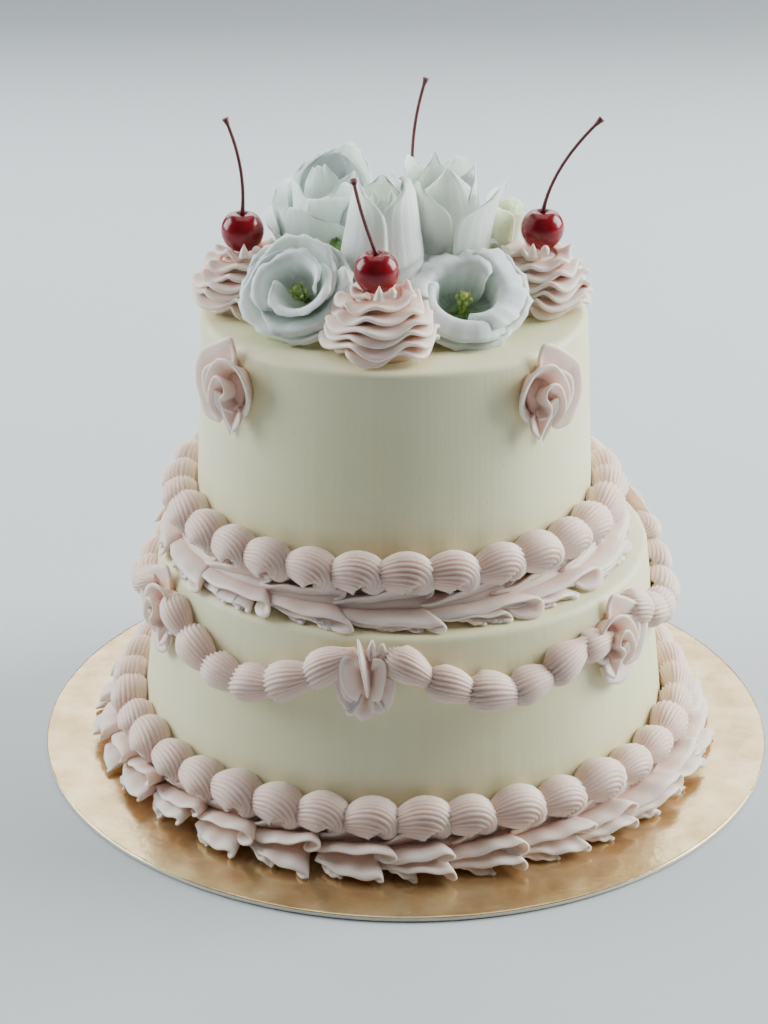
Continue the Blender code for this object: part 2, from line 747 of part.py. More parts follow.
def build_flowers(cake, helpers, swirls, petal, green):
    top = UPPER_TOP
    left_face = tilted((-43.0, -36.5, top + 20.6), -20.0, 40.0, 12.0)
    right_face = tilted((22.0, -33.0, top + 18.0), 8.0, 58.0, 40.0)
    back_face = tilted((27.0, 34.0, top + 18.0), 145.0, 52.0, 0.0)
    far_face = tilted((-38.0, 37.0, top + 19.4), -140.0, 62.0, 0.0)
    fixed = list(swirls)
    plan = (
        ("lisianthus_left", left_face, LISIANTHUS, 5, 3, petal),
        ("lisianthus_right", right_face, WIDE_LISIANTHUS, 5, 3, petal),
        ("tulip_bud", tilted((-10.0, -14.0, top + 1.0), -10.0, 86.0), CLOSED_BUD, 5, 2, petal),
        ("tulip_open", tilted((13.5, 4.0, top + 1.0), 40.0, 84.0, 20.0), OPEN_TULIP, 6, 2, petal),
        ("ruffled_bloom", tilted((-31.0, 15.0, top + 1.0), -60.0, 86.0, 10.0), RUFFLED_BLOOM, 6, 2, petal),
        ("lisianthus_back", back_face, LISIANTHUS, 5, 2, petal),
        ("lisianthus_far", far_face, LISIANTHUS, 5, 2, petal),
        ("small_bloom", tilted((37.0, 21.0, top + 1.0), 60.0, 86.0), SMALL_BLOOM, 4, 2, petal),
    )
    for name, frame, rings, petals, per_petal, material in plan:
        piece = bloom(name, frame, rings, petals, per_petal, material, cake)
        trim(piece, fixed, helpers)
        fixed.append(piece)
    faces = (("left", left_face), ("right", right_face), ("back", back_face), ("far", far_face))
    for side, frame in faces:
        bloom(f"heart_{side}", frame, HEART, 3, 2, green, cake)
        stalk(f"stalk_{side}", frame, top + GAP, green, cake)
    sprig = leaf("leaf", tilted((-27.5, -13.0, top + 26.0), -25.0, 50.0, 25.0), 15.0, 7.5, green, cake)
    trim(sprig, fixed, helpers)


def main():
    clear_scene()
    cake = new_collection("cake")
    helpers = new_collection("cutters")
    card = new_material("gold card", (0.62, 0.45, 0.20), 0.35, 0.8)
    cream = new_material("ivory buttercream", (0.83, 0.79, 0.64), 0.5)
    pink = new_material("pink buttercream", (0.84, 0.62, 0.54), 0.5)
    red = new_material("cherry skin", (0.24, 0.006, 0.014), 0.15)
    dark_red = new_material("cherry stem", (0.12, 0.012, 0.016), 0.45)
    petal = new_material("white petal", (0.84, 0.86, 0.80), 0.6)
    green = new_material("leaf green", (0.14, 0.24, 0.07), 0.5)
    build_tiers(cake, card, cream)
    build_borders(cake, pink)
    build_garland(cake, pink)
    swirls = build_swirls(cake, pink, red, dark_red)
    build_flowers(cake, helpers, swirls, petal, green)


main()
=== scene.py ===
# A two-tier buttercream cake on its gold card: piped borders and swags, cherries on swirls, white flowers.
import math

import bpy
import numpy as np
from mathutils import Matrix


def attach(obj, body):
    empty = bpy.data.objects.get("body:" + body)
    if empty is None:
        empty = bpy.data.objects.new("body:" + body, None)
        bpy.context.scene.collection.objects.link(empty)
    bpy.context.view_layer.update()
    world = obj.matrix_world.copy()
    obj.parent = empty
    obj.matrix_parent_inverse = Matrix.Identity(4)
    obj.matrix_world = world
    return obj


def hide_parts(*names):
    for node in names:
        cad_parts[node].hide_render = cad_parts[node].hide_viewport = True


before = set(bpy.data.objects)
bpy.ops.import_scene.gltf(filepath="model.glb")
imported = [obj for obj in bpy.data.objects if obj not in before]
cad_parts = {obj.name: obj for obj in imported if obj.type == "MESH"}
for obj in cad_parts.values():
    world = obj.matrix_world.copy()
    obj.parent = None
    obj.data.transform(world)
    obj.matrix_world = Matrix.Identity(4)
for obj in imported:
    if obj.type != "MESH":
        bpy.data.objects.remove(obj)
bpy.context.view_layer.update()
mm = 0.001
fullTurn = 2.0 * math.pi
anyPhase = 6.28  # the span that random phases are drawn from
rng = np.random.default_rng(7)

# the body of the cake, in millimetres above the underside of the card
card = {"radius": 152.4, "top": 2.0, "edge": 0.5}
lower = {"axis": (-1.2, 0.0), "floor": 2.3, "top": 90.7, "foot": 108.5, "rim": 100.5, "taperStart": 22.0}
upper = {"axis": (-5.2, 0.0), "floor": 91.0, "top": 187.6, "foot": 80.5, "rim": 76.8, "taperStart": 108.7}
rimRounding = 3.0


def wallRadius(tier, height):
    share = (height - tier["taperStart"]) / (tier["top"] - rimRounding - tier["taperStart"])
    return tier["foot"] + (tier["rim"] - tier["foot"]) * clamp(share)


def onWall(tier, azimuth, local):
    # local holds distance along the wall, distance off it and height; azimuth 0 is the front
    along, off, height = local[..., 0], local[..., 1], local[..., 2]
    radius = wallRadius(tier, height)
    turn = math.radians(azimuth) + along / (radius + 5.0)
    reach = radius + off
    x, y = tier["axis"]
    return np.stack([x + reach * np.sin(turn), y - reach * np.cos(turn), height], -1)


# mesh building

def through(points, count):
    # a smooth line through the points, evenly spaced in their numbering
    points = np.array(points, float)
    last = len(points) - 1
    where = np.linspace(0.0, last, count)
    index = np.minimum(where.astype(int), last - 1)
    t = (where - index)[:, None]
    a, b, c, d = (points[np.clip(index + step, 0, last)] for step in (-1, 0, 1, 2))
    return 0.5 * (2 * b + (c - a) * t + (2 * a - 5 * b + 4 * c - d) * t**2 + (3 * b - a - 3 * c + d) * t**3)


def throughValues(values, count):
    return through([[value] for value in values], count)[:, 0]


def clamp(values):
    return np.clip(values, 0.0, 1.0)


def unit(vectors):
    return vectors / np.maximum(np.linalg.norm(vectors, axis=-1, keepdims=True), 1e-9)


def circle(count):
    # the angles of evenly spaced points on a unit circle, and the points
    turn = np.linspace(0.0, fullTurn, count, endpoint=False)
    return turn, np.stack([np.cos(turn), np.sin(turn)], -1)


def softFloor(height, low, soft):
    # eases heights that would sink below a floor
    eased = low + soft * np.exp(np.minimum(height - low - soft, 0.0))
    return np.where(height < low + soft, eased, height)


def gridQuads(rows, columns, wrap=False):
    r = np.arange(rows - 1)[:, None] * columns
    c = np.arange(columns if wrap else columns - 1)[None, :]
    beside = (c + 1) % columns
    return np.stack([r + c, r + columns + c, r + columns + beside, r + beside], -1).reshape(-1, 4)


def tubeFaces(rows, columns, flipped=False):
    # the sides of a tube and a fan at each end; the middles of its ends are numbered after its rows
    edge = np.arange(columns)
    beside = (edge + 1) % columns
    last = (rows - 1) * columns
    middle = np.full(columns, rows * columns)
    fans = np.concatenate([
        np.stack([middle, edge, beside], -1),
        np.stack([middle + 1, last + beside, last + edge], -1),
    ])
    sides = gridQuads(rows, columns, wrap=True)
    return (sides[:, ::-1], fans[:, [0, 2, 1]]) if flipped else (sides, fans)


class Piece:
    # collects closed forms in millimetres and makes one mesh of them

    def __init__(self):
        self.points, self.quads, self.triangles, self.crease, self.count = [], [], [], [], 0

    def add(self, points, quads, triangles, crease):
        self.points.append(points)
        self.quads.append(quads + self.count)
        if len(triangles):
            self.triangles.append(triangles + self.count)
        self.crease.append(np.broadcast_to(crease, (len(points),)))
        self.count += len(points)

    def addSheet(self, grid, thickness, crease):
        # a thin closed sheet about a grid of points, thickness and the mask of painted shade and petal tint
        # given over the same grid
        rows, columns = grid.shape[:2]
        normal = unit(np.cross(np.gradient(grid, axis=0), np.gradient(grid, axis=1)))
        half = 0.5 * np.broadcast_to(thickness, (rows, columns)).copy()
        half[0] *= 0.55
        half[-1] *= 0.55
        half[:, -1] *= 0.55
        front = (grid + normal * half[..., None]).reshape(-1, 3)
        back = (grid - normal * half[..., None]).reshape(-1, 3)
        size = rows * columns
        faces = gridQuads(rows, columns)
        number = np.arange(size).reshape(rows, columns)
        loop = np.concatenate([number[:, 0], number[-1, 1:], number[-2::-1, -1], number[0, -2:0:-1]])
        beside = np.roll(loop, -1)
        rim = np.stack([beside, loop, loop + size, beside + size], -1)
        both = np.concatenate([faces, faces[:, ::-1] + size, rim])
        shade = np.broadcast_to(crease, (rows, columns)).reshape(-1)
        self.add(np.concatenate([front, back]), both, [], np.concatenate([shade, shade]))

    def addSweep(self, path, sections, crease, hint, placer=None):
        # closed sections, given as (sideways, up) offsets row by row, carried along a path without twisting
        rows, columns = sections.shape[:2]
        ahead = unit(np.gradient(path, axis=0))
        ups = np.empty_like(path)
        up = np.array(hint, float)
        for row in range(rows):
            up = unit(up - ahead[row] * np.dot(up, ahead[row]))
            ups[row] = up
        side = np.cross(ahead, ups)
        body = path[:, None] + side[:, None] * sections[..., :1] + ups[:, None] * sections[..., 1:]
        points = np.concatenate([body.reshape(-1, 3), path[:1], path[-1:]])
        if placer:
            points = placer(points)
        shade = np.broadcast_to(crease, (rows, columns)).reshape(-1)
        # the middles of the two ends take full painted shade
        self.add(points, *tubeFaces(rows, columns), np.append(shade, [1.0, 1.0]))

    def make(self, name, material, nodes, slotName):
        points = np.concatenate(self.points) * mm
        quads = np.concatenate(self.quads)
        triangles = np.concatenate(self.triangles) if self.triangles else np.zeros((0, 3), int)
        mesh = bpy.data.meshes.new(name)
        mesh.vertices.add(len(points))
        mesh.vertices.foreach_set("co", points.astype(np.float32).ravel())
        corners = np.concatenate([quads.ravel(), triangles.ravel()]).astype(np.int32)
        sizes = np.concatenate([np.full(len(quads), 4), np.full(len(triangles), 3)]).astype(np.int32)
        mesh.loops.add(len(corners))
        mesh.loops.foreach_set("vertex_index", corners)
        mesh.polygons.add(len(sizes))
        mesh.polygons.foreach_set("loop_start", np.concatenate([[0], np.cumsum(sizes)[:-1]]).astype(np.int32))
        mesh.polygons.foreach_set("use_smooth", np.ones(len(sizes), bool))
        mesh.update(calc_edges=True)
        mesh.validate()
        # each point's mask of painted shade, which for petals also brings in their own green, goes on the
        # mesh as an attribute
        shade = mesh.attributes.new("crease", "FLOAT", "POINT")
        shade.data.foreach_set("value", np.concatenate(self.crease).astype(np.float32))
        mesh.materials.append(material)
        made = bpy.data.objects.new(name, mesh)
        bpy.context.scene.collection.objects.link(made)
        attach(made, "root")
        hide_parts(*nodes)
        return made


# finishes

class Wire:
    # a socket with the usual operators

    def __init__(self, graph, socket):
        self.graph, self.socket = graph, socket

    def math(self, operation, first, second):
        return self.graph.node("ShaderNodeMath", {"operation": operation}, {0: first, 1: second})

    def __add__(self, other):
        return self.math("ADD", self, other)

    def __radd__(self, other):
        return self.math("ADD", other, self)

    def __sub__(self, other):
        return self.math("SUBTRACT", self, other)

    def __rsub__(self, other):
        return self.math("SUBTRACT", other, self)

    def __mul__(self, other):
        return self.math("MULTIPLY", self, other)

    def __rmul__(self, other):
        return self.math("MULTIPLY", other, self)


class Graph:
    # one material and the nodes in it

    def __init__(self, name, **uniform):
        self.material = bpy.data.materials.new(name)
        self.material.use_nodes = True
        self.tree = self.material.node_tree
        self.shader = self.tree.nodes["Principled BSDF"]
        for key, value in uniform.items():
            self.shader.inputs[key.replace("_", " ")].default_value = value

    def node(self, kind, settings=None, values=None, output=0):
        made = self.tree.nodes.new(kind)
        for key, value in (settings or {}).items():
            setattr(made, key, value)
        for key, value in (values or {}).items():
            socket = made.inputs[key]
            if isinstance(value, Wire):
                self.tree.links.new(value.socket, socket)
            elif socket.type == "RGBA":
                socket.default_value = (*value, 1.0)
            else:
                socket.default_value = value
        return Wire(self, made.outputs[output])

    def mix(self, factor, first, second):
        return self.node("ShaderNodeMix", {"data_type": "RGBA"}, {0: factor, 6: first, 7: second}, 2)

    def place(self):
        return self.node("ShaderNodeTexCoord", output="Object")

    def noise(self, scale, detail=3.0, where=None, roughness=0.5):
        values = {"Vector": where or self.place(), "Scale": scale, "Detail": detail, "Roughness": roughness}
        return self.node("ShaderNodeTexNoise", {}, values, "Fac")

    def attribute(self, name):
        return self.node("ShaderNodeAttribute", {"attribute_name": name}, {}, "Fac")

    def between(self, value, low, high):
        return self.node("ShaderNodeMapRange", {"clamp": True}, {0: value, 1: low, 2: high, 3: 0.0, 4: 1.0})

    def feed(self, name, wire):
        self.tree.links.new(wire.socket, self.shader.inputs[name])

    def bump(self, height, strength, distance):
        made = self.node("ShaderNodeBump", {}, {"Strength": strength, "Distance": distance, "Height": height})
        self.feed("Normal", made)


# pink icing: crest is the icing's own pale pink; the flank and crevice colours are painted shade, darker and
# warmer down in the grooves
pinkIcing = {"crest": (0.87, 0.71, 0.635), "shadedFlank": (0.85, 0.64, 0.55), "creviceShade": (0.78, 0.44, 0.33)}
ivoryIcing = {"light": (0.82, 0.79, 0.52), "dark": (0.78, 0.735, 0.44)}
goldFoil = {"light": (0.80, 0.62, 0.36), "dark": (0.56, 0.38, 0.18)}
cutPaper = {"light": (0.82, 0.78, 0.68), "dark": (0.70, 0.64, 0.52)}
cherryRed = {"light": (0.27, 0.006, 0.014), "dark": (0.12, 0.002, 0.006)}
stemRed = {"light": (0.20, 0.035, 0.035), "dark": (0.055, 0.006, 0.010)}
# edge is each petal's own colour; base is its own green at the foot, deepened into painted shade low in the
# cup
petalColours = {
    "white": {"edge": (0.88, 0.98, 0.93), "base": (0.72, 0.86, 0.58)},
    "cream": {"edge": (0.88, 0.95, 0.87), "base": (0.72, 0.82, 0.54)},
    "throat": {"edge": (0.88, 0.98, 0.93), "base": (0.10, 0.22, 0.05)},
    "pale": {"edge": (0.72, 0.78, 0.50), "base": (0.42, 0.56, 0.20)},
}
greens = {
    "stalk": {"light": (0.16, 0.27, 0.08), "dark": (0.07, 0.16, 0.035)},
    "heart": {"light": (0.42, 0.46, 0.10), "dark": (0.13, 0.22, 0.04)},
}


def pinkFinish():
    g = Graph(
        "piped pink buttercream", Roughness=0.42, IOR=1.45,
        Subsurface_Weight=0.35, Subsurface_Scale=0.004, Subsurface_Radius=(1.0, 0.55, 0.35),
    )
    crease = g.attribute("crease")
    patch = g.noise(60.0, 3.0)
    # painted shade: the crease mask darkens the flanks and fills the grooves with a deeper, warmer pink, its
    # edge broken by noise
    shadedFlank = g.mix(g.between(crease, 0.0, 0.45), pinkIcing["crest"], pinkIcing["shadedFlank"])
    deep = g.between(crease + 0.25 * (patch - 0.5), 0.45, 1.0)
    g.feed("Base Color", g.mix(deep, shadedFlank, pinkIcing["creviceShade"]))
    g.feed("Roughness", 0.36 + 0.2 * g.noise(180.0, 2.0))
    g.bump(g.noise(520.0, 4.0) + 0.5 * g.noise(1900.0, 2.0), 0.22, 0.0006)
    return g.material


def ivoryFinish():
    # long faint strokes of the palette knife run round the tiers
    g = Graph("smoothed ivory buttercream", Roughness=0.45, IOR=1.45)
    place = g.place()
    x, y, z = (g.node("ShaderNodeSeparateXYZ", {}, {0: place}, axis) for axis in "XYZ")
    turn = x.math("ARCTAN2", x, y)
    along = g.node("ShaderNodeCombineXYZ", {}, {0: turn * 0.11, 1: z * 0.045, 2: 0.0})
    strokes = g.noise(260.0, 4.0, along)
    broadPatch = g.noise(14.0, 3.0)
    tint = g.between(broadPatch + 0.5 * (strokes - 0.5), 0.3, 0.75)
    g.feed("Base Color", g.mix(tint, ivoryIcing["light"], ivoryIcing["dark"]))
    pits = g.node("ShaderNodeTexVoronoi", {}, {"Vector": place, "Scale": 110.0}, "Distance")
    pit = 1.0 - g.between(pits, 0.03, 0.10)
    g.feed("Roughness", 0.38 + 0.22 * strokes)
    g.bump(0.55 * strokes + 0.25 * g.noise(420.0, 4.0) - 0.35 * pit, 0.30, 0.0007)
    return g.material


def goldFinish():
    g = Graph("gold foil", Roughness=0.32, Metallic=0.85)
    wrinkle = g.noise(55.0, 5.0, roughness=0.6)
    g.feed("Base Color", g.mix(g.between(wrinkle, 0.35, 0.7), goldFoil["dark"], goldFoil["light"]))
    g.feed("Roughness", 0.12 + 0.22 * g.noise(90.0, 4.0))
    cellValues = {"Scale": 60.0, "Vector": g.place()}
    cells = g.node("ShaderNodeTexVoronoi", {"feature": "SMOOTH_F1"}, cellValues, "Distance")
    g.bump(wrinkle + 0.4 * cells, 0.35, 0.0016)
    return g.material


def cutEdgeFinish():
    g = Graph("card cut edge", Roughness=0.8)
    g.feed("Base Color", g.mix(g.noise(300.0), cutPaper["dark"], cutPaper["light"]))
    g.bump(g.noise(900.0), 0.3, 0.0004)
    return g.material


def cherryFinish():
    g = Graph(
        "cherry skin", Roughness=0.2, Specular_IOR_Level=0.35, Coat_Weight=0.15, Coat_Roughness=0.12,
        Subsurface_Weight=0.15, Subsurface_Scale=0.003, Subsurface_Radius=(1.0, 0.15, 0.1),
    )
    # random mottling of the skin, plus painted shade that darkens it down in the stem dimple
    mottleAndDimpleShade = g.between(g.noise(150.0, 4.0) - 0.35 * g.attribute("crease"), 0.2, 0.7)
    g.feed("Base Color", g.mix(mottleAndDimpleShade, cherryRed["dark"], cherryRed["light"]))
    g.feed("Roughness", 0.16 + 0.12 * g.noise(260.0))
    g.bump(g.noise(240.0, 3.0), 0.14, 0.0006)
    return g.material


def stemFinish():
    g = Graph("cherry stem", Roughness=0.45)
    g.feed("Base Color", g.mix(g.noise(500.0), stemRed["dark"], stemRed["light"]))
    g.bump(g.noise(1400.0), 0.4, 0.0004)
    return g.material


def petalFinish(name, colours):
    g = Graph(
        name, Roughness=0.55, Sheen_Weight=0.15,
        Subsurface_Weight=0.55, Subsurface_Scale=0.004, Subsurface_Radius=(0.8, 1.0, 0.7),
    )
    depth = g.attribute("crease")
    vein = g.attribute("vein")
    # the mask mixes in the petal's own green at its foot and painted shade low in the cup
    shade = g.between(depth + 0.12 * (g.noise(170.0) - 0.5), 0.25, 1.0)
    g.feed("Base Color", g.mix(shade + 0.10 * vein, colours["edge"], colours["base"]))
    g.bump(0.7 * vein + 0.6 * g.noise(700.0, 3.0), 0.35, 0.0005)
    return g.material


def greenFinish(name, colours):
    g = Graph(name, Roughness=0.5, Subsurface_Weight=0.1, Subsurface_Scale=0.002)
    g.feed("Base Color", g.mix(g.between(g.noise(330.0), 0.3, 0.7), colours["dark"], colours["light"]))
    g.bump(g.noise(900.0), 0.3, 0.0005)
    return g.material


pink, ivory, gold, cutEdge = pinkFinish(), ivoryFinish(), goldFinish(), cutEdgeFinish()
cherrySkin, cherryStem = cherryFinish(), stemFinish()
white = petalFinish("white petal", petalColours["white"])
cream = petalFinish("cream petal", petalColours["cream"])
stalkGreen = greenFinish("stalk green", greens["stalk"])
heartGreen = greenFinish("flower heart", greens["heart"])
# the dark green throat is painted shade at the bottom of the funnel, over the petals' own green
throat = petalFinish("petal with a green throat", petalColours["throat"])
pale = petalFinish("pale green petal", petalColours["pale"])
print("finishes made")


# card and tiers

def latheGrid(profile, steps):
    profile = np.array(profile, float)
    turn = circle(steps)[0]
    ring = np.stack([np.sin(turn), -np.cos(turn)], -1)
    grid = np.empty((len(profile), steps, 3))
    grid[..., :2] = profile[:, None, :1] * ring[None]
    grid[..., 2] = profile[:, None, 1]
    return grid


def makeLathe(name, grid, material, nodes, slotName, top, bottom, crease=0.0):
    # rows run from the bottom to the top, closed by a point at each end
    rows, columns = grid.shape[:2]
    points = np.concatenate([grid.reshape(-1, 3), [bottom], [top]])
    shade = np.append(np.broadcast_to(crease, (rows, columns)).reshape(-1), [0.0, 0.0])
    piece = Piece()
    piece.add(points, *tubeFaces(rows, columns, flipped=True), shade)
    return piece.make(name, material, nodes, slotName)


def smoothNoise(turn, height, seed, waves=((3, 0.5), (7, 0.3), (13, 0.2))):
    # a slow unevenness round a tier, as (waves in a round, share) pairs
    dice = np.random.default_rng(seed)
    total = 0.0
    for count, share in waves:
        phase, lean = dice.uniform(0, fullTurn), dice.uniform(-0.04, 0.04)
        total = total + share * np.sin(count * turn + phase + lean * height)
    return total


def makeTier(name, tier, seed):
    steps, levels = 200, 36
    axis, rim, top = tier["axis"], tier["rim"], tier["top"]
    sides = [(float(wallRadius(tier, h)), h) for h in np.linspace(tier["floor"], top - rimRounding, levels)]
    corner = [
        (rim - rimRounding * (1 - math.cos(a)), top - rimRounding * (1 - math.sin(a)))
        for a in np.linspace(0.0, 0.5 * math.pi, 7)[1:]
    ]
    flat = [(rim - rimRounding - d, top) for d in np.linspace(4.0, rim - 8.0, 16)]
    grid = latheGrid(sides + corner + flat, steps)
    turn = circle(steps)[0][None]
    height = grid[..., 2]
    onSide = clamp((top - height) / 6.0)
    dents = 0.30 * smoothNoise(turn, height, seed) * onSide
    radius = np.linalg.norm(grid[..., :2], axis=-1)
    grid[..., :2] *= (1.0 + dents / np.maximum(radius, 1.0))[..., None]
    ripple = 0.18 * smoothNoise(turn, radius, seed + 3, ((2, 0.5), (5, 0.3), (9, 0.2)))
    grid[..., 2] += ripple * (1.0 - onSide) * clamp(radius / 30.0)
    grid[..., 0] += axis[0]
    makeLathe(name, grid, ivory, [name], "ivory_buttercream", (*axis, top), (*axis, tier["floor"]))


def makeCard():
    steps = 256
    r, top, edge = card["radius"], card["top"], card["edge"]
    profile = [(r - 14.0, 0.0), (r - edge, 0.0), (r, 0.3), (r, top - 0.4), (r - 0.35, top - 0.08)]
    profile += [(r - 1.2, top)] + [(d, top) for d in np.linspace(r - 4.0, 60.0, 24)]
    grid = latheGrid(profile, steps)
    # the foil dips a little in fine waves near its rim
    radius = np.linalg.norm(grid[..., :2], axis=-1)
    turn = circle(steps)[0][None]
    wave = smoothNoise(turn, radius, 5, ((23, 0.4), (37, 0.35), (61, 0.25)))
    grid[..., 2] -= 0.10 * (1.0 + wave) * clamp((radius - 110.0) / 30.0) * (grid[..., 2] > top - 0.05)
    made = makeLathe("board_foil", grid, gold, ["board"], "gold_card", (0, 0, top), (0, 0, 0))
    # the faces of the cut edge show bare paper
    made.data.materials.append(cutEdge)
    middle = np.empty(len(made.data.polygons) * 3, np.float32)
    made.data.polygons.foreach_get("center", middle)
    height = middle.reshape(-1, 3)[:, 2] / mm
    made.data.polygons.foreach_set("material_index", ((height > 0.1) & (height < top - 0.3)).astype(np.int32))


makeCard()
makeTier("lower_tier", lower, seed=21)
makeTier("upper_tier", upper, seed=34)
print("card and tiers made")


# piped shells

# line is the middle of a shell from tail to head as (along, up), curl how far it curls under along hook, and
# radii its thickness, all as shares of its size
shellLook = {
    "ribs": 26, "depth": 0.165, "rows": 18, "hook": (0.80, -0.12),
    "line": (
        (-1.34, 0.0), (-0.98, 0.05), (-0.52, 0.11), (-0.02, 0.13), (0.38, 0.07), (0.60, 0.0), (0.66, 0.0),
        (0.50, 0.0), (0.26, 0.0),
    ),
    "curl": (0.0, 0.0, 0.0, 0.0, 0.06, 0.22, 0.44, 0.62, 0.70),
    "radii": (0.36, 0.52, 0.78, 0.95, 1.0, 0.95, 0.76, 0.48, 0.16),
}


def addShell(piece, placer, size, direction, lean, look=shellLook):
    # a shell piped from its tail to a head that curls under; size is its radius at the head
    ribs, rows = look["ribs"], look["rows"]
    down, inward = look["hook"]
    line = through(look["line"], rows)
    curl = throughValues(look["curl"], rows)
    radii = throughValues(look["radii"], rows)
    path = np.stack([direction * line[:, 0], 0.05 - curl * inward, line[:, 1] - curl * down], -1) * size
    headward = np.linspace(0.0, 1.0, rows)[:, None]
    turn, around = circle(ribs * 3)
    groove = np.sin(0.5 * ribs * turn) ** 2
    depth = look["depth"] * (0.75 + 0.95 * headward**2)
    uneven = 1.0 + 0.03 * np.sin(3.0 * turn + lean) + 0.02 * np.sin(5.0 * turn + 2.0 * lean)
    reach = size * radii[:, None] * (1.0 - depth * groove[None]) * uneven[None]
    # painted shade: darker in the grooves between ribs and towards the tail, which tucks under the shell
    # before it
    crease = clamp(0.02 + 0.74 * groove[None] + 0.35 * headward[::-1] ** 2)
    piece.addSweep(path, reach[..., None] * around[None], crease, (0.0, 1.0, 0.0), placer)


def wallPlacer(tier, azimuth, tilt, lift, away, least):
    # tilts a shell's points, lifts them and sets them away from the wall, none deeper in it than least
    def placer(points):
        along, off, up = points[:, 0], points[:, 1], points[:, 2]
        s = along * math.cos(tilt) - up * math.sin(tilt)
        h = along * math.sin(tilt) + up * math.cos(tilt)
        return onWall(tier, azimuth, np.stack([s, np.maximum(off + away, least), h + lift], -1))

    return placer


def makeFootShells(name, tier, count, radius, underside, phase):
    piece = Piece()
    for number in range(count):
        size = radius * rng.uniform(0.95, 1.05)
        tilt = math.radians(rng.uniform(-5.0, 9.0))
        azimuth = 360.0 * (number + phase) / count + rng.uniform(-0.5, 0.5)
        placer = wallPlacer(tier, azimuth, tilt, underside + size * 0.98, away=6.2, least=-1.0)
        addShell(piece, placer, size, 1.0, rng.uniform(0, anyPhase))
    piece.make(name, pink, [name], "pink_buttercream")


makeFootShells("lower_foot_shells", lower, count=38, radius=8.6, underside=card["top"] + 9.8, phase=0.35)
makeFootShells("upper_foot_shells", upper, count=30, radius=8.6, underside=lower["top"] + 11.4, phase=0.2)
print("foot shells made")


# ruffle borders

# a fold's blades: angle at the root, share of the reach, curl, start and end along the wall, and droop
lowerRuffle = {
    "count": 29, "hub": (3.6, 4.2), "reach": 21.0, "spread": 0.62,
    "blades": (
        (94.0, 0.80, 2.4, -16.0, 8.0, 0.24),
        (64.0, 0.85, 4.0, -18.0, 9.0, 0.64),
        (16.0, 0.98, 2.5, -16.0, 7.5, 0.22),
        (-8.0, 0.86, 1.8, -14.0, -5.0, 0.05),
    ),
}
upperRuffle = {
    "count": 17, "hub": (3.4, 3.8), "reach": 13.8, "spread": 0.62,
    "blades": (
        (92.0, 0.90, 2.6, -27.0, 10.0, 0.26),
        (42.0, 0.99, 4.8, -29.0, 12.5, 0.50),
        (4.0, 0.94, 2.6, -27.0, 5.0, 0.10),
        (-14.0, 0.90, 1.8, -13.0, -6.0, 0.0),
        (-14.0, 0.94, 2.1, -3.0, 3.5, 0.0),
    ),
}
curlStart, curlTurn = 0.55, math.radians(265.0)  # where along a blade its head begins, and how far it curls


def addFrill(piece, tier, azimuth, floor, look, angle, length, hookSize, ends):
    # one thin blade of icing: a long rising stroke and a curl at its head, which runs back into the body
    along, across = 33, 9
    start, end, phase, droop = ends
    spread = look["spread"]
    u = np.linspace(0.0, 1.0, along)[:, None]
    v = np.linspace(0.0, 1.0, across)[None]
    stroke = clamp(u / curlStart)
    hook = clamp((u - curlStart) / (1.0 - curlStart))
    pitch = np.radians(angle) * (spread + (1.0 - spread) * stroke**1.3)
    reach = length * (0.62 + 0.38 * np.sin(0.5 * math.pi * clamp(stroke * 1.1)))
    reach = reach * (1.0 - 0.10 * hook - 0.22 * clamp((hook - 0.6) / 0.4))
    turn = curlTurn * hook
    out = v**1.1
    flick = hookSize * (1.0 - 0.20 * hook)
    s = start + (end - start) * stroke * (0.84 + 0.16 * v) + flick * np.sin(turn) * out * 1.1
    drop = flick * (1.0 - np.cos(turn)) * out
    wave = (1.1 * np.sin(5.5 * u + phase) + 0.5 * np.sin(26.0 * u + 2.0 * phase)) * v**2 * (1.0 - hook)
    bend = droop * length * v**1.9 * (0.45 + 0.55 * stroke) * (1.0 - 0.45 * hook)
    outward = np.cos(pitch) * (reach * v - 0.3 * bend) + np.sin(pitch) * bend + 0.45 * drop
    upward = np.sin(pitch) * (reach * v - 0.3 * bend) - np.cos(pitch) * bend - 0.85 * drop + wave
    height = softFloor(floor + look["hub"][1] + upward, floor + 0.9, 1.0)
    grid = np.stack([s, look["hub"][0] + outward, height], -1)
    thickness = 3.2 - 1.9 * v
    # painted shade: darker at the root of each blade against the wall and inside its curl
    crease = clamp(1.20 - 1.40 * v + 0.35 * hook * (1.0 - v))
    piece.addSheet(onWall(tier, azimuth, grid), thickness, crease)


def addRope(piece, tier, floor):
    # a plain rope of icing behind the blades, closed both ways
    around = circle(12)[1]
    off = np.maximum(4.0 + 3.8 * around[:, 0], 0.1)
    height = np.maximum(floor + 5.4 + 5.2 * around[:, 1], floor + 0.4)
    section = np.stack([0.0 * off, off, height], -1)
    turns = np.linspace(0.0, 360.0, 240, endpoint=False)
    rope = np.array([onWall(tier, azimuth, section) for azimuth in turns])
    rows, columns = rope.shape[:2]
    quads = gridQuads(rows + 1, columns, wrap=True) % (rows * columns)
    # the rope behind the blades takes a little painted shade
    piece.add(rope.reshape(-1, 3), quads, [], 0.40)


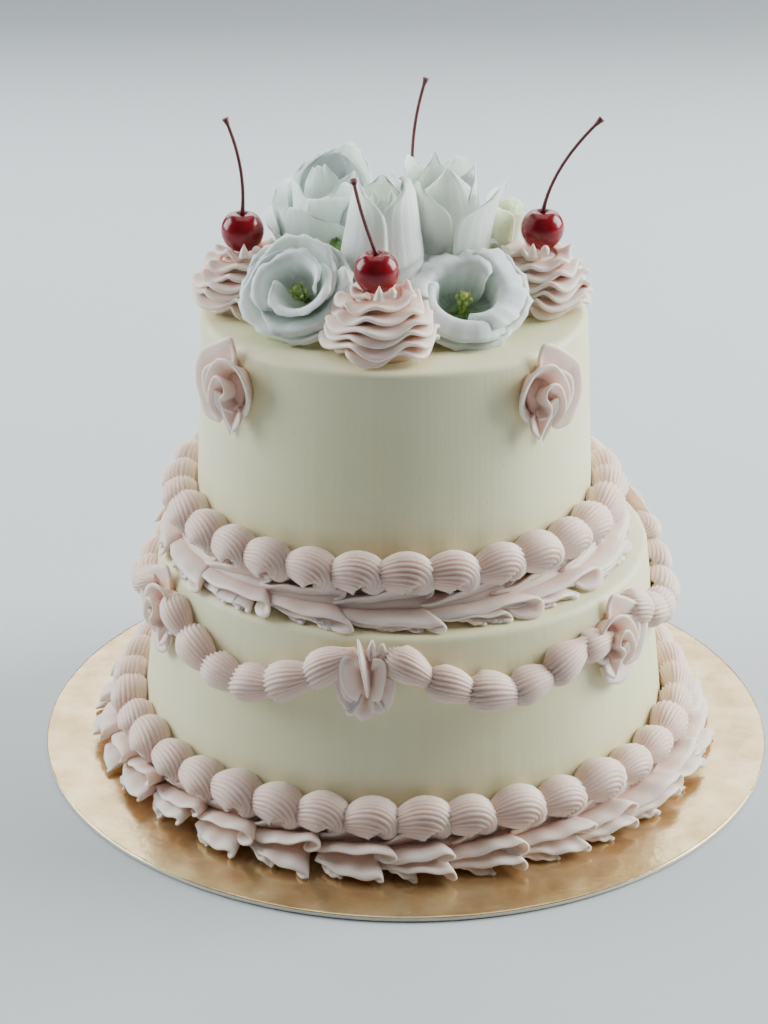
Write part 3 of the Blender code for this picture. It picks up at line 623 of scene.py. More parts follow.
def makeRuffle(name, tier, floor, look, phase):
    piece = Piece()
    addRope(piece, tier, floor)
    for number in range(look["count"]):
        azimuth = 360.0 * (number + phase) / look["count"] + rng.uniform(-0.8, 0.8)
        size = look["reach"] * rng.uniform(0.92, 1.03)
        for angle, share, hook, start, end, droop in look["blades"]:
            tip = angle + rng.uniform(-6.0, 6.0)
            begin, finish = start * rng.uniform(0.88, 1.05), end + rng.uniform(-2.0, 2.0)
            ends = (begin, finish, rng.uniform(0.0, anyPhase), droop * rng.uniform(0.8, 1.2))
            curl = hook * rng.uniform(0.75, 1.25)
            addFrill(piece, tier, azimuth, floor, look, tip, size * share, curl, ends)
    piece.make(name, pink, [name], "pink_buttercream")


makeRuffle("lower_foot_ruffle", lower, card["top"], lowerRuffle, 0.3)
makeRuffle("upper_foot_ruffle", upper, lower["top"], upperRuffle, 0.1)
print("ruffles made")


# garland: swags of small shells between rosettes

# heights and low are above the card, for the rosettes and the lowest point of each swag; a swag climbs from
# there by rise, and by farRise at most to its second rosette
garland = {
    "azimuths": (-65.5, -7.7, 52.4, 112.0, 172.0, 233.0),
    "heights": (73.0, 74.0, 70.5, 72.0, 74.0, 72.0),
    "low": (63.4, 66.0, 64.5, 65.0, 64.0, 65.0),
    "rise": 24.0, "farRise": (24.0, 8.0, 14.0, 24.0, 24.0, 24.0), "power": 1.7,
    "shells": 6, "radius": 7.6, "inset": 0.07,
}
swagShell = dict(
    shellLook, ribs=23, rows=16, hook=(0.10, 0.62), depth=0.17,
    line=(
        (-1.95, 0.0), (-1.45, 0.0), (-0.85, 0.04), (-0.25, 0.08), (0.25, 0.06), (0.56, 0.0), (0.66, 0.0),
        (0.50, 0.0), (0.26, 0.0),
    ),
)


def swagLine(index, share):
    first = garland["azimuths"][index]
    last = garland["azimuths"][(index + 1) % 6] + (360.0 if index == 5 else 0.0)
    climb = garland["rise"] * abs(2.0 * share - 1.0) ** garland["power"]
    if share > 0.5:
        climb = min(climb, garland["farRise"][index])
    return first + (last - first) * share, card["top"] + garland["low"][index] + climb


def makeSwag(index):
    piece = Piece()
    count, inset = garland["shells"], garland["inset"]
    for number in range(count):
        share = inset + (1.0 - 2.0 * inset) * (number + 0.5) / count
        azimuth, height = swagLine(index, share)
        ahead = swagLine(index, share + 0.02)
        run = math.radians(ahead[0] - azimuth) * (wallRadius(lower, height) + 4.0)
        slope = math.atan2(ahead[1] - height, run)
        size = garland["radius"] * rng.uniform(0.92, 1.06) * (0.80 + 0.20 * math.sin(math.pi * share))
        placer = wallPlacer(lower, azimuth, slope, height, away=3.8, least=-0.8)
        addShell(piece, placer, size, -1.0, rng.uniform(0, anyPhase), swagShell)
    name = f"swag_{index + 1}"
    piece.make(name, pink, [name], "pink_buttercream")


for index in range(6):
    makeSwag(index)
print("swags made")


# rosettes of thin blades that stand off the wall

# each stroke is a blade's edge as (aside, up, off the wall) in millimetres, the point that its root draws in
# to, and how far it draws in
curlStrokes = (
    ((
        (-3.6, 14.0, 2.2), (-1.6, 19.6, 2.8), (3.4, 17.0, 5.0), (8.6, 13.2, 6.8), (11.6, 9.2, 7.8),
        (13.2, 4.0, 8.2), (13.2, -1.6, 8.0), (11.6, -7.4, 7.2), (9.4, -13.0, 5.6), (4.0, -14.6, 3.0),
    ), (-1.0, -2.0), 0.46),
    ((
        (4.0, 9.0, 5.0), (7.6, 6.4, 7.2), (8.6, 2.0, 8.0), (7.8, -3.0, 7.6), (6.2, -8.0, 6.0),
        (4.4, -12.4, 3.6),
    ), (0.0, -3.0), 0.50),
    ((
        (-9.4, -8.0, 3.4), (-12.4, -4.2, 4.6), (-13.2, 1.8, 5.8), (-11.6, 8.8, 7.4), (-8.0, 13.6, 9.0),
        (-3.8, 13.8, 10.0), (-0.4, 10.8, 10.6), (2.8, 5.2, 10.4), (5.0, -0.8, 9.4), (4.6, -6.6, 7.6),
        (2.6, -10.8, 5.0),
    ), (-3.0, -2.0), 0.58),
    ((
        (-7.6, -6.2, 7.4), (-4.8, -5.0, 9.6), (-4.2, -1.4, 10.8), (-6.6, 2.4, 11.0), (-6.2, 6.2, 11.4),
        (-3.6, 7.6, 11.8), (-1.0, 5.0, 11.8), (1.6, -2.0, 10.8), (3.0, -7.4, 8.6), (1.4, -12.8, 5.0),
    ), (-1.8, -3.6), 0.42),
    ((
        (-3.4, -4.4, 7.6), (-3.0, -0.6, 9.4), (-1.8, 0.9, 10.0), (-0.6, -0.6, 9.8), (0.6, -5.2, 8.0),
        (0.2, -9.4, 5.4),
    ), (-1.8, -6.4), 0.30),
    ((
        (-8.2, -6.6, 3.4), (-8.9, -10.4, 5.2), (-6.6, -14.2, 6.4), (-4.0, -11.0, 6.8), (-1.0, -7.4, 6.6),
        (0.4, -11.0, 4.8), (-0.6, -18.6, 1.6),
    ), (-2.4, -5.0), 0.40),
)
hangingPetal = (
    ((
        (-9.6, -9.0, 3.0), (-8.4, -15.2, 3.6), (-2.6, -19.8, 3.8), (3.6, -19.2, 3.8), (8.2, -14.0, 3.6),
        (9.4, -8.0, 3.0),
    ), (0.0, -2.0), 0.42),
    (((10.6, 6.0, 3.0), (12.8, 1.0, 4.4), (11.8, -5.0, 5.0), (8.0, -8.0, 5.4)), (2.0, 0.0), 0.55),
    (((-11.0, 4.0, 3.0), (-12.4, -1.0, 4.0), (-10.8, -6.4, 4.4), (-7.0, -8.4, 4.0)), (-2.0, 0.0), 0.55),
)
bladeStrokes = (
    ((
        (-2.6, 17.0, 5.0), (-1.2, 13.0, 9.4), (0.6, 6.0, 12.0), (1.4, -0.6, 11.4), (1.6, -5.6, 7.0),
    ), (0.8, 3.0), 0.25),
    ((
        (-3.0, 10.0, 6.0), (-7.0, 10.2, 7.0), (-8.6, 7.0, 8.6), (-7.4, 1.4, 9.8), (-5.4, -3.8, 9.4),
        (-2.4, -7.2, 7.4),
    ), (0.4, 0.6), 0.10),
    ((
        (3.2, 9.4, 6.0), (6.6, 9.6, 7.0), (8.2, 6.4, 8.8), (7.8, 0.0, 9.8), (6.2, -5.2, 9.2),
        (3.4, -7.0, 7.2),
    ), (1.8, 0.6), 0.10),
    ((
        (-9.4, 3.4, 4.4), (-11.0, -1.0, 5.4), (-9.8, -7.0, 6.4), (-6.4, -12.2, 6.4), (-4.4, -11.6, 6.0),
        (-3.0, -8.0, 5.4),
    ), (-1.4, -2.0), 0.20),
    (((-7.6, 6.0, 6.0), (-8.8, 1.0, 7.4), (-7.4, -5.4, 8.0), (-4.6, -8.4, 6.8)), (-1.0, -1.0), 0.42),
    ((
        (8.6, 2.4, 4.6), (11.4, 0.8, 6.0), (11.2, -5.4, 6.6), (9.2, -10.6, 6.0), (6.2, -9.2, 6.0),
        (3.6, -7.0, 5.4),
    ), (1.8, -2.0), 0.20),
    ((
        (-6.0, -9.8, 2.6), (-4.4, -14.6, 3.0), (-0.6, -17.4, 3.4), (2.6, -15.0, 4.0), (3.2, -9.0, 4.4),
    ), (0.8, -4.0), 0.38),
    ((
        (0.6, 10.0, 4.4), (2.4, 16.4, 3.8), (4.4, 12.4, 4.6), (6.6, 15.4, 3.6), (8.2, 10.4, 4.0),
    ), (1.6, 3.0), 0.30),
    (((-10.4, 8.6, 3.4), (-9.0, 12.4, 4.2), (-5.4, 12.2, 4.6), (-3.0, 11.0, 5.0)), (-0.6, 3.0), 0.30),
    (((-5.0, -7.0, 5.6), (-6.6, -12.6, 6.4), (-4.4, -14.2, 6.6), (-1.6, -10.0, 5.6)), (0.4, -3.0), 0.20),
    (((3.0, -8.0, 5.0), (4.4, -12.4, 5.4), (7.4, -12.4, 5.6), (7.6, -8.4, 5.6)), (1.4, -3.0), 0.20),
)
bladeLook = {"thickness": (2.4, 1.25), "belly": 0.6, "mound": (8.2, 9.6, 4.2)}


def addBlade(piece, tier, azimuth, middle, root, edge, off):
    # root and edge are lines of (aside, up), off the height of each point of the edge off the wall
    along, across = 5 * len(edge) + 6, 9
    low, high = through(root, along), through(edge, along)
    v = np.linspace(0.0, 1.0, across)
    plane = low[:, None] + (high - low)[:, None] * v[None, :, None]
    rise = throughValues(off, along)[:, None] * (v[None] ** 0.85)
    rise = rise + bladeLook["belly"] * np.sin(math.pi * v)[None]
    grid = np.stack([plane[..., 0], rise + 0.2, plane[..., 1] + middle], -1)
    atRoot, atEdge = bladeLook["thickness"]
    thickness = atRoot + (atEdge - atRoot) * v[None]
    # painted shade: darker towards the root of each blade
    piece.addSheet(onWall(tier, azimuth, grid), thickness, clamp(0.86 - 1.15 * v)[None])


def addMound(piece, tier, azimuth, middle, halfWidth, halfHeight, height):
    # a low body under the blades of a rosette
    rings, columns = 9, 28
    turn, around = circle(columns)
    share = np.linspace(1.0, 0.12, rings)[:, None]
    lumpy = (1.0 + 0.06 * np.sin(5 * turn))[None]
    wide = halfWidth * share * around[None, :, 0] * lumpy
    tall = halfHeight * share * around[None, :, 1] * lumpy
    off = height * np.sqrt(clamp(1.0 - share**2.4)) + 0.15
    grid = np.stack(np.broadcast_arrays(wide, off, tall + middle), -1).reshape(-1, 3)
    ends = [[0.0, 0.15, middle], [0.0, height + 0.2, middle]]
    points = onWall(tier, azimuth, np.concatenate([grid, ends]))
    # painted shade: the mound under the blades takes most of the crevice colour
    piece.add(points, *tubeFaces(rings, columns), 0.8)


def makeRosette(name, tier, azimuth, middle, strokes, scale, mirrored=False, seed=0):
    piece = Piece()
    dice = np.random.default_rng(seed)
    flip = np.array([-1.0 if mirrored else 1.0, 1.0])
    scale = np.array(scale)
    wide, tall, high = bladeLook["mound"]
    addMound(piece, tier, azimuth, middle - 0.5, wide * scale[0], tall * scale[1], high)
    for line, pole, inwards in strokes:
        line = np.array(line)
        jitter = dice.uniform(-0.35, 0.35, (len(line), 2))
        edge = (line[:, :2] + jitter) * scale * flip
        root = np.array(pole) * scale * flip
        addBlade(piece, tier, azimuth, middle, root + (edge - root) * inwards, edge, line[:, 2])
    piece.make(name, pink, [name], "pink_buttercream")


for index, azimuth in enumerate(garland["azimuths"]):
    name, middle = f"garland_rosette_{index + 1}", card["top"] + garland["heights"][index]
    if index in (1, 4):
        makeRosette(name, lower, azimuth, middle, bladeStrokes, (1.0, 0.97), seed=index)
    else:
        strokes = curlStrokes + hangingPetal
        makeRosette(name, lower, azimuth, middle + 1.0, strokes, (1.20, 0.95), index in (0, 3), seed=index)
for index, azimuth in enumerate((-51.5, 46.0, 136.0, 226.0)):
    name, middle = f"side_rosette_{index + 1}", card["top"] + 170.0
    makeRosette(name, upper, azimuth, middle, curlStrokes, (1.22, 1.06), index in (0, 3), seed=20 + index)
print("rosettes made")


# swirls, cherries and stems on the top

# places: x, y and where the ribbons start; peak and bead: a direction, foot and tip as (out, up), and radii
swirlLook = {
    "places": {
        "front": (-9.0, -51.0, 0.0), "left": (-62.0, -1.0, 30.0), "right": (50.0, 1.0, 55.0),
        "back": (2.0, 50.0, 80.0),
    },
    "flowerSide": {"front": 34.0, "left": -58.0, "right": -128.0, "back": -30.0},
    "turns": 3.15,
    "core": (
        (15.0, 0.0), (15.4, 3.0), (16.0, 8.0), (14.6, 13.5), (11.6, 18.4), (8.4, 21.6), (6.0, 21.4),
        (2.0, 20.6),
    ),
    "peak": (-97.0, (11.4, 23.4), (10.8, 28.8), (2.2, 0.6)),
    "bead": (-72.0, (11.0, 24.4), (11.2, 28.0), (1.5, 1.8)),
}


def addCore(piece, x, y, base):
    core = latheGrid(swirlLook["core"], 40) + (x, y, base)
    points = np.concatenate([core.reshape(-1, 3), [(x, y, base)], [(x, y, base + 20.8)]])
    # painted shade: the core inside the ribbons takes part of the crevice colour
    piece.add(points, *tubeFaces(*core.shape[:2], flipped=True), 0.55)


def addRibbon(piece, side, ribbon, shift, base):
    # one of two ruffled ribbons that climb side by side
    x, y, start = swirlLook["places"][side]
    along, across = 480, 8
    u = np.linspace(0.0, 1.0, along)[:, None]
    v = np.linspace(0.0, 1.0, across)[None]
    fade = clamp(u / 0.05) * clamp((1.0 - u) / 0.06)
    width = (9.4 - 3.6 * u) * (0.35 + 0.65 * fade)
    outer = (10.4 + 12.8 * (1.0 - u**2.6) ** 0.75) * (0.74 + 0.26 * clamp(u / 0.07) ** 0.6)
    angle = math.radians(start) + math.pi * ribbon + fullTurn * swirlLook["turns"] * u
    phase = 6.62 * angle + 1.5 * np.sin(0.83 * angle + start) + shift + 0.9 * ribbon
    loop = np.sin(1.31 * angle + start) ** 2
    swell = 1.9 + 1.6 * np.sin(2.37 * angle + 2.0 * start) ** 2
    out = v**1.3 * (0.80 + 0.20 * np.sin(1.7 * angle))
    theta = angle + (0.05 + 0.055 * loop) * out * np.sin(phase)
    fold = (0.8 + 1.2 * loop) * out * np.sin(phase + 0.3) * (1.0 - 0.45 * u)
    reach = outer - width * (1.0 - v) - fold - 0.7 * ribbon
    # less room on the side where a flower stands
    towards = np.cos(angle - math.radians(swirlLook["flowerSide"][side]))
    reach = reach * (1.0 - 0.14 * clamp(towards) ** 2)
    collar = clamp((u - 0.76) / 0.24)
    lift = swell * (1.0 - 0.3 * u) * out * np.sin(phase - 1.1)
    level = base + 2.9 + 20.1 * u - 0.8 * v**1.5 * (1.0 - u) + lift
    level = softFloor(level + 3.4 * collar * out * fade, base + 0.8, 0.8)
    grid = np.stack([x + reach * np.cos(theta), y + reach * np.sin(theta), level], -1)
    # painted shade: darker along the inner edge of the ribbon, between its turns
    piece.addSheet(grid, 2.4 - 0.8 * v, clamp(1.05 - 1.25 * v))


def addDrop(piece, x, y, base, turn, foot, tip, radii):
    # a short piped drop on the lip of the top ribbon
    t = np.linspace(0.0, 1.0, 12)[:, None]
    aside, deep = math.cos(math.radians(turn)), math.sin(math.radians(turn))
    outward = foot[0] + (tip[0] - foot[0]) * t
    height = base + foot[1] + (tip[1] - foot[1]) * t
    path = np.concatenate([x + aside * outward, y + deep * outward, height], 1)
    radius = radii[0] + (radii[1] - radii[0]) * t
    radius = radius * np.sqrt(np.clip((1.005 - t) / 0.45, 0.01, 1.0))
    piece.addSweep(path, radius[..., None] * circle(12)[1][None], 0.0, (1.0, 0.3, 0.0))


def makeSwirl(side):
    x, y = swirlLook["places"][side][:2]
    base = upper["top"] + 0.3
    piece = Piece()
    addCore(piece, x, y, base)
    shift = rng.uniform(0, anyPhase)
    for ribbon in range(2):
        addRibbon(piece, side, ribbon, shift, base)
    for drop in ("peak", "bead"):
        addDrop(piece, x, y, base, *swirlLook[drop])
    name = f"swirl_{side}"
    piece.make(name, pink, [name], "pink_buttercream")


cherryLook = {
    "radius": 8.5, "middle": 31.2, "dimple": 2.6,
    "places": {"front": (-11.5, -51.5), "left": (-64.5, -1.5), "right": (52.8, 2.5), "back": (2.0, 50.0)},
}


def makeCherry(side, seed):
    columns = 48
    r, dimple = cherryLook["radius"], cherryLook["dimple"]
    dice = np.random.default_rng(seed)
    theta = np.linspace(math.pi - 0.06, 0.06, 34)
    profile = []
    for t in theta:
        dip = dimple * math.exp(-((t / 0.34) ** 2))
        profile.append((0.985 * r * math.sin(t) * (1.0 + 0.03 * math.cos(t)), r * math.cos(t) * 0.99 - dip))
    grid = latheGrid(profile, columns)
    turn = circle(columns)[0][None]
    lumps = 0.014 * np.sin(2 * turn + dice.uniform(0, 6)) + 0.008 * np.sin(3 * turn + dice.uniform(0, 6))
    grid[..., :2] *= (1.0 + lumps)[..., None]
    centre = np.array([*cherryLook["places"][side], upper["top"] + cherryLook["middle"]])
    # painted shade in the stem dimple on top: this mask darkens the skin there
    crease = np.exp(-((theta / 0.4) ** 2))[:, None]
    top = centre + (0, 0, profile[-1][1])
    bottom = centre + (0, 0, profile[0][1])
    name = f"cherry_{side}"
    makeLathe(name, grid + centre, cherrySkin, [name], "cherry_skin", top, bottom, crease)


stemLook = {
    "tips": {
        "front": (-19.5, -64.0, 255.0), "left": (-70.0, -3.0, 262.0), "right": (74.5, 2.0, 261.0),
        "back": (7.2, 50.0, 265.0),
    },
    "bows": {"front": (-1.0, 3.0), "left": (2.5, 0.0), "right": (-4.0, 0.0), "back": (-2.0, 0.0)},
    "radius": 0.75,
}


def makeStem(side):
    footHeight = upper["top"] + cherryLook["middle"] + cherryLook["radius"] - cherryLook["dimple"] + 0.6
    foot = np.array([*cherryLook["places"][side], footHeight])
    tip = np.array(stemLook["tips"][side])
    tip[2] += card["top"]
    t = np.linspace(0.0, 1.0, 28)[:, None]
    path = foot + (tip - foot) * t
    path[:, :2] += 4.0 * t * (1.0 - t) * np.array(stemLook["bows"][side])
    # thicker where it leaves the cherry and at its cut end
    radius = stemLook["radius"] * (0.9 + 0.55 * np.exp(-t * 14.0) + 1.0 * clamp((t - 0.93) / 0.05) ** 2)
    turn, around = circle(12)
    rough = 1.0 + 0.06 * np.sin(5 * turn)[None] * np.sin(23 * t)
    piece = Piece()
    piece.addSweep(path, (radius * rough)[..., None] * around[None], 0.0, (0.0, 1.0, 0.0))
    name = f"stem_{side}"
    piece.make(name, cherryStem, [name], "cherry_stem")


for seed, side in enumerate(("front", "left", "right", "back")):
    makeSwirl(side)
    makeCherry(side, 40 + seed)
    makeStem(side)
print("swirls, cherries and stems made")


# flowers

def flowerFrame(place, azimuth, elevation, spin=0.0):
    # place is above the top of the cake; a flower faces azimuth and elevation, turned by spin about its axis
    turn, lift, twist = (math.radians(value) for value in (azimuth, elevation, spin))
    out = np.array([math.sin(turn) * math.cos(lift), -math.cos(turn) * math.cos(lift), math.sin(lift)])
    right = np.array([math.cos(turn), math.sin(turn), 0.0])
    up = np.cross(out, right)
    side = right * math.cos(twist) + up * math.sin(twist)
    return np.array([place[0], place[1], upper["top"] + place[2]]), side, np.cross(out, side), out


# outlines: the share of a petal's span that it fills, from its foot to its rim
broad = (0.50, 0.86, 1.0, 1.0, 0.97, 0.86)
pointed = (0.45, 0.86, 1.0, 1.05, 0.92, 0.18)
full = (0.50, 0.88, 1.0, 1.02, 0.94, 0.40)
petalRows, petalColumns = 18, 26


def addPetal(piece, frameOf, turn, span, profile, ruffle, widths=broad, overlap=1.0, seed=0, green=0.42):
    # profile: (radius, height) from foot to rim; ruffle: waves of the rim; green: how far up the petal's own
    # green and the painted shade go
    middle, side, up, out = frameOf
    dice = np.random.default_rng(seed)
    line = through(profile, petalRows) * np.array([dice.uniform(0.94, 1.06), 1.0])
    v = np.linspace(0.0, 1.0, petalRows)[:, None]
    a = np.linspace(-1.0, 1.0, petalColumns)[None]
    width = throughValues(widths, petalRows)[:, None]
    angle = turn + dice.uniform(-0.12, 0.12) + 0.5 * math.radians(span) * a * width
    slow, fast = dice.uniform(2.4, 3.6), dice.uniform(6.0, 9.0)
    waves = np.sin(slow * a + dice.uniform(0, anyPhase)) + 0.45 * np.sin(fast * a + dice.uniform(0, anyPhase))
    fine = 0.44 * np.sin(21.0 * a + dice.uniform(0, anyPhase)) * np.sin(5.0 * a + dice.uniform(0, anyPhase))
    fine = fine * v**8
    roundness = 0.10 if widths is broad else 0.0
    radius = line[:, :1] * (1.0 - roundness * np.abs(a) ** 3 * v**2) + overlap * a * (0.3 + 0.7 * v) * width
    radius = radius + ruffle * (0.5 * waves * v**3 + fine)
    if widths is pointed:
        radius = radius - 0.9 * (1.0 - a**2) * v * (1.0 - v) * 2.0
    shoulder = 0.07 * line[-1, 1] if line[-1, 1] > 20.0 else 1.2
    height = line[:, 1:] + ruffle * (waves * v**3 + fine) + dice.uniform(-0.6, 0.6) * v**2
    height = height - shoulder * np.abs(a) ** 2.5 * v**3
    around = np.cos(angle)[..., None] * side + np.sin(angle)[..., None] * up
    spot = middle + radius[..., None] * around + height[..., None] * out
    # the petal's own green at its foot, deepened as painted shade low in the cup
    piece.addSheet(spot, 0.80 - 0.42 * v, clamp(1.0 - v / green) ** 0.8)


def finishFlower(piece, name, material, slotName):
    made = piece.make(name, material, [name], slotName)
    vein = made.data.attributes.new("vein", "FLOAT", "POINT")
    # each sheet's columns are numbered across the petal, so veins follow its length
    number = np.arange(len(made.data.vertices)) % petalColumns
    vein.data.foreach_set("value", (0.5 + 0.5 * np.sin(number * 2.1)).astype(np.float32))


# layers from the outside in: petals, their span, profile of (radius, height), ruffle and overlap
closedLayers = (
    (4, 132, ((2.0, -16.5), (8.0, -14.0), (14.5, -9.0), (19.0, -4.6), (20.6, -3.0), (21.6, -5.2)), 2.1, 2.0),
    (3, 172, ((2.0, -15.5), (7.8, -12.0), (12.4, -5.8), (16.0, -0.8), (18.4, 0.6), (19.8, -1.2)), 1.9, 3.0),
    (2, 236, ((1.6, -14.5), (5.8, -11.5), (8.8, -6.0), (10.6, 0.2), (12.8, 2.6), (14.8, 2.4)), 1.4, 3.8),
)
openLayers = (
    (4, 130, ((2.4, -16.5), (9.0, -13.6), (16.0, -9.0), (21.6, -5.4), (24.4, -4.2), (25.8, -5.8)), 2.0, 2.0),
    (3, 164, ((2.0, -15.5), (8.8, -14.0), (11.6, -8.8), (12.8, -1.8), (16.0, 0.9), (22.8, -1.8)), 1.7, 2.8),
)
closedBloom = {"layers": closedLayers, "green": 0.42, "petal": white}
openBloom = {"layers": openLayers, "green": 0.55, "petal": throat}
lisianthusLook = {
    "left": {"frame": flowerFrame((-43.0, -36.5, 20.6), -20.0, 40.0, 12.0), "turn": 0.0, **closedBloom},
    "right": {"frame": flowerFrame((22.0, -33.0, 18.0), 8.0, 58.0, 40.0), "turn": 0.4, **openBloom},
    "back": {"frame": flowerFrame((27.0, 34.0, 18.0), 145.0, 52.0), "turn": 0.7, **closedBloom},
    "far": {"frame": flowerFrame((-38.0, 37.0, 19.4), -140.0, 62.0), "turn": 0.2, **closedBloom},
}


def makeLisianthus(side):
    look = lisianthusLook[side]
    piece = Piece()
    frameOf, green = look["frame"], look["green"]
    seed = sum(ord(letter) for letter in side)
    for layer, (count, span, profile, ruffle, overlap) in enumerate(look["layers"]):
        for number in range(count):
            turn = 0.9 * layer + look["turn"] + number * fullTurn / count
            petalSeed = seed + 10 * layer + number
            addPetal(piece, frameOf, turn, span, profile, ruffle, broad, overlap, petalSeed, green)
    finishFlower(piece, f"lisianthus_{side}", look["petal"], "white_petal")


def makeHeart(side):
    # a pistil and six stamens round it, as (right, up, height, size)
    middle, right, up, out = lisianthusLook[side]["frame"]
    threads = [(0.0, 0.0, -2.4, 1.5)]
    for t in circle(6)[0]:
        threads.append((2.3 * math.cos(t), 2.3 * math.sin(t), -4.4 + 0.8 * math.sin(3 * t), 0.75))
    around = circle(10)[1]
    t = np.linspace(0.0, 1.0, 12)[:, None]
    head = clamp((t - 0.72) / 0.14) * np.sqrt(np.clip((1.04 - t) / 0.16, 0.05, 1.0))
    piece = Piece()
    for a, b, high, size in threads:
        foot = middle + out * -13.2 + (right * a + up * b) * 0.35
        tip = middle + out * high + right * a * 1.25 + up * b * 1.25
        radius = size * (0.42 + 0.75 * head)
        piece.addSweep(foot + (tip - foot) * t, radius[..., None] * around[None], 0.0, right)
    piece.make(f"heart_{side}", heartGreen, [f"heart_{side}"], "flower_green")


def makeStalk(side):
    middle, right, up, out = lisianthusLook[side]["frame"]
    rows, columns = 18, 12
    floor = upper["top"] + 0.3
    neck = middle - out * 17.3
    elbow = neck - out * min(4.0, 0.5 * max(neck[2] - floor, 0.2))
    path = through([middle - out * 15.5, neck, elbow, (elbow[0], elbow[1], floor + 0.1)], rows)
    sections = np.broadcast_to(1.9 * circle(columns)[1][None], (rows, columns, 2))
    piece = Piece()
    piece.addSweep(path, sections, 0.0, right)
    piece.make(f"stalk_{side}", stalkGreen, [f"stalk_{side}"], "flower_green")


for side in lisianthusLook:
    makeLisianthus(side)
    makeHeart(side)
    makeStalk(side)


# each petal of a cup is its turn, span, belly radius, tip radius, tip height, outline and ruffle
cupLook = {
    "tulip_bud": {"place": (-10.0, -14.0, 1.0), "azimuth": 0.0, "petal": cream, "petals": (
        (276, 132, 16.4, 7.6, 51.5, pointed, 0.3), (202, 136, 16.6, 10.2, 58.5, pointed, 0.3),
        (340, 136, 16.0, 11.0, 57.5, pointed, 0.3), (90, 160, 13.4, 8.0, 55.0, pointed, 0.4),
        (240, 110, 13.4, 6.0, 54.0, pointed, 0.4), (312, 110, 13.4, 5.0, 53.0, pointed, 0.4),
    )},
    "tulip_open": {"place": (13.5, 4.0, 1.0), "azimuth": 0.0, "petal": cream, "petals": (
        (280, 136, 16.2, 8.0, 58.5, pointed, 0.4), (342, 108, 16.8, 24.0, 52.5, pointed, 0.5),
        (168, 112, 16.0, 15.0, 59.0, full, 0.4), (194, 92, 17.6, 20.5, 56.0, pointed, 0.4),
        (224, 110, 15.0, 13.0, 53.0, pointed, 0.4), (112, 116, 13.6, 6.0, 60.0, pointed, 0.4),
        (18, 108, 14.4, 12.0, 57.0, pointed, 0.5), (62, 112, 15.4, 14.0, 56.0, full, 0.5),
        (138, 100, 15.8, 15.0, 56.0, pointed, 0.4),
    )},
    "ruffled_bloom": {"place": (-31.0, 15.0, 1.0), "azimuth": 0.0, "petal": white, "petals": (
        (190, 124, 18.4, 26.0, 33.0, full, 0.8), (232, 130, 18.0, 21.5, 42.0, full, 0.8),
        (290, 124, 17.0, 18.5, 46.0, broad, 0.7), (340, 110, 17.0, 18.0, 45.0, broad, 0.7),
        (146, 118, 18.4, 21.5, 42.0, full, 0.8), (64, 150, 18.0, 17.0, 56.0, full, 0.7),
        (88, 104, 16.0, 17.0, 54.0, full, 0.8), (112, 108, 15.0, 17.0, 52.0, full, 0.8),
        (262, 150, 12.0, 12.0, 45.0, full, 0.8), (20, 140, 11.6, 11.0, 48.0, full, 0.8),
        (306, 130, 12.6, 12.8, 50.5, full, 0.9), (196, 124, 13.2, 14.4, 49.5, full, 0.9),
        (120, 130, 9.6, 9.0, 51.0, full, 0.9),
    )},
    "small_bloom": {"place": (37.0, 21.0, 1.0), "azimuth": 60.0, "petal": pale, "petals": (
        (0, 116, 5.4, 8.4, 35.0, broad, 0.6), (90, 116, 5.4, 8.2, 34.0, broad, 0.6),
        (180, 116, 5.4, 8.4, 35.5, broad, 0.6), (270, 116, 5.4, 8.2, 34.0, broad, 0.6),
        (40, 140, 3.8, 4.6, 35.5, broad, 0.4), (160, 140, 3.8, 4.6, 35.0, broad, 0.4),
        (280, 140, 3.8, 4.6, 35.5, broad, 0.4),
    )},
}


def makeCup(name):
    look = cupLook[name]
    frameOf = flowerFrame(look["place"], look["azimuth"], 86.0)
    piece = Piece()
    for number, (turn, span, belly, tip, height, widths, ruffle) in enumerate(look["petals"]):
        lean = tip - belly
        profile = (
            (2.2, 0.2), (0.64 * belly, 0.14 * height), (belly, 0.38 * height),
            (belly + 0.30 * lean, 0.64 * height), (belly + 0.66 * lean, 0.85 * height), (tip, height),
        )
        petalSeed = number + 10 * len(name)
        addPetal(piece, frameOf, math.radians(turn), span, profile, ruffle, widths, 1.0, petalSeed, 0.5)
    finishFlower(piece, name, look["petal"], "white_petal")


for name in cupLook:
    makeCup(name)


def makeLeaf():
    middle, side, up, out = flowerFrame((-27.5, -13.0, 26.0), -25.0, 50.0, 25.0)
    length, halfWidth = 15.0, 3.75
    u = np.linspace(0.0, 1.0, 24)[:, None]
    a = np.linspace(-1.0, 1.0, petalColumns)[None]
    half = halfWidth * np.sin(math.pi * (0.05 + 0.93 * u)) ** 0.85
    wave = 0.8 * np.sin(5.0 * u + a) + 0.9 * np.abs(a)
    spot = middle + (length * (u - 0.5))[..., None] * up + (half * a)[..., None] * side
    spot = spot + wave[..., None] * out
    piece = Piece()
    piece.addSheet(spot, 0.7, 0.0)
    finishFlower(piece, "leaf", stalkGreen, "flower_green")


makeLeaf()
print("flowers made")


# floor, light and camera, in metres

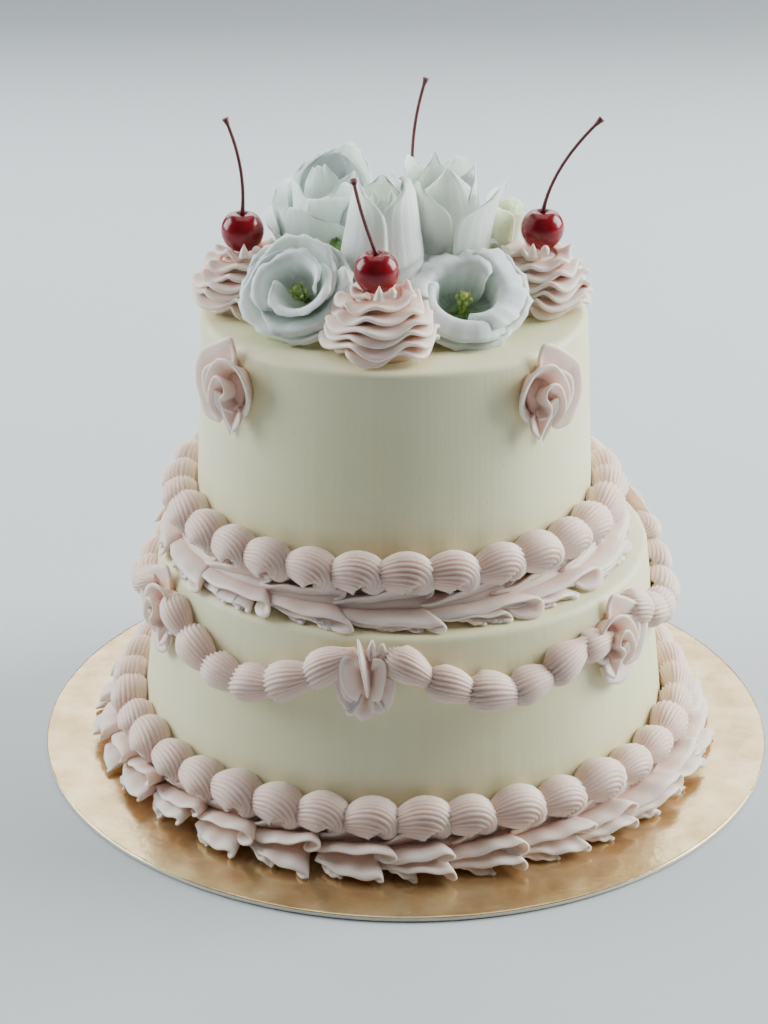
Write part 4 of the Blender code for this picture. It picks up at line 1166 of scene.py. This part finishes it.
floorLook = {"half": 9.0, "height": -0.0003, "dark": (0.49, 0.51, 0.54), "light": (0.52, 0.54, 0.57)}
lights = {
    "rightBack": {"place": (1.6, 0.45, 0.85), "power": 84.0, "size": 1.2, "colour": (0.90, 0.99, 0.97)},
    "leftBack": {"place": (-1.6, 0.40, 0.80), "power": 48.0, "size": 1.2, "colour": (0.88, 0.98, 1.0)},
    "window": {
        "place": (0.0, 1.0, 0.66), "power": 12.0, "size": 1.7, "height": 0.6, "colour": (0.94, 1.0, 1.0),
    },
    "overhead": {"place": (0.0, 0.3, 1.9), "power": 17.0, "size": 1.6, "colour": (1.0, 0.99, 0.95)},
    "front": {"place": (0.3, -1.9, 1.2), "power": 1.0, "size": 1.8, "colour": (1.0, 0.98, 0.94)},
}
aimHeight = 0.1
worldLook = {"colour": (0.80, 0.88, 1.0), "strength": 0.075}
cameraLook = {"place": (0.0, -0.888, 0.4951), "down": 24.09, "roll": 0.0104, "sensor": 36.0, "lens": 83.0}


def plainStage():
    g = Graph("pale floor", Roughness=0.7)
    g.feed("Base Color", g.mix(g.noise(3.0), floorLook["dark"], floorLook["light"]))
    sides = (-floorLook["half"], floorLook["half"])
    mesh = bpy.data.meshes.new("floor")
    mesh.from_pydata([(x, y, floorLook["height"]) for y in sides for x in sides], [], [(0, 1, 3, 2)])
    mesh.materials.append(g.material)
    floor = bpy.data.objects.new("floor", mesh)
    bpy.context.scene.collection.objects.link(floor)


def addLight(name, look):
    lamp = bpy.data.lights.new(name, "AREA")
    lamp.energy, lamp.size, lamp.color = look["power"], look["size"], look["colour"]
    if "height" in look:
        lamp.shape, lamp.size_y = "RECTANGLE", look["height"]
    made = bpy.data.objects.new(name, lamp)
    made.visible_camera = False
    made.location = look["place"]
    x, y, z = np.array([0.0, 0.0, aimHeight]) - np.array(look["place"])
    made.rotation_euler = (math.atan2(math.hypot(x, y), -z), 0.0, math.atan2(-x, y))
    bpy.context.scene.collection.objects.link(made)


def addWorld():
    world = bpy.data.worlds.new("soft room")
    bpy.context.scene.world = world
    world.use_nodes = True
    background = world.node_tree.nodes["Background"]
    background.inputs["Color"].default_value = (*worldLook["colour"], 1.0)
    background.inputs["Strength"].default_value = worldLook["strength"]


def addCamera():
    data = bpy.data.cameras.new("camera")
    data.sensor_width, data.lens = cameraLook["sensor"], cameraLook["lens"]
    made = bpy.data.objects.new("camera", data)
    made.location = cameraLook["place"]
    made.rotation_euler = (math.radians(90.0 - cameraLook["down"]), 0.0, cameraLook["roll"])
    bpy.context.scene.collection.objects.link(made)
    bpy.context.scene.camera = made


plainStage()
for name, look in lights.items():
    addLight(name, look)
addWorld()
addCamera()
print("stage, lights and camera made")
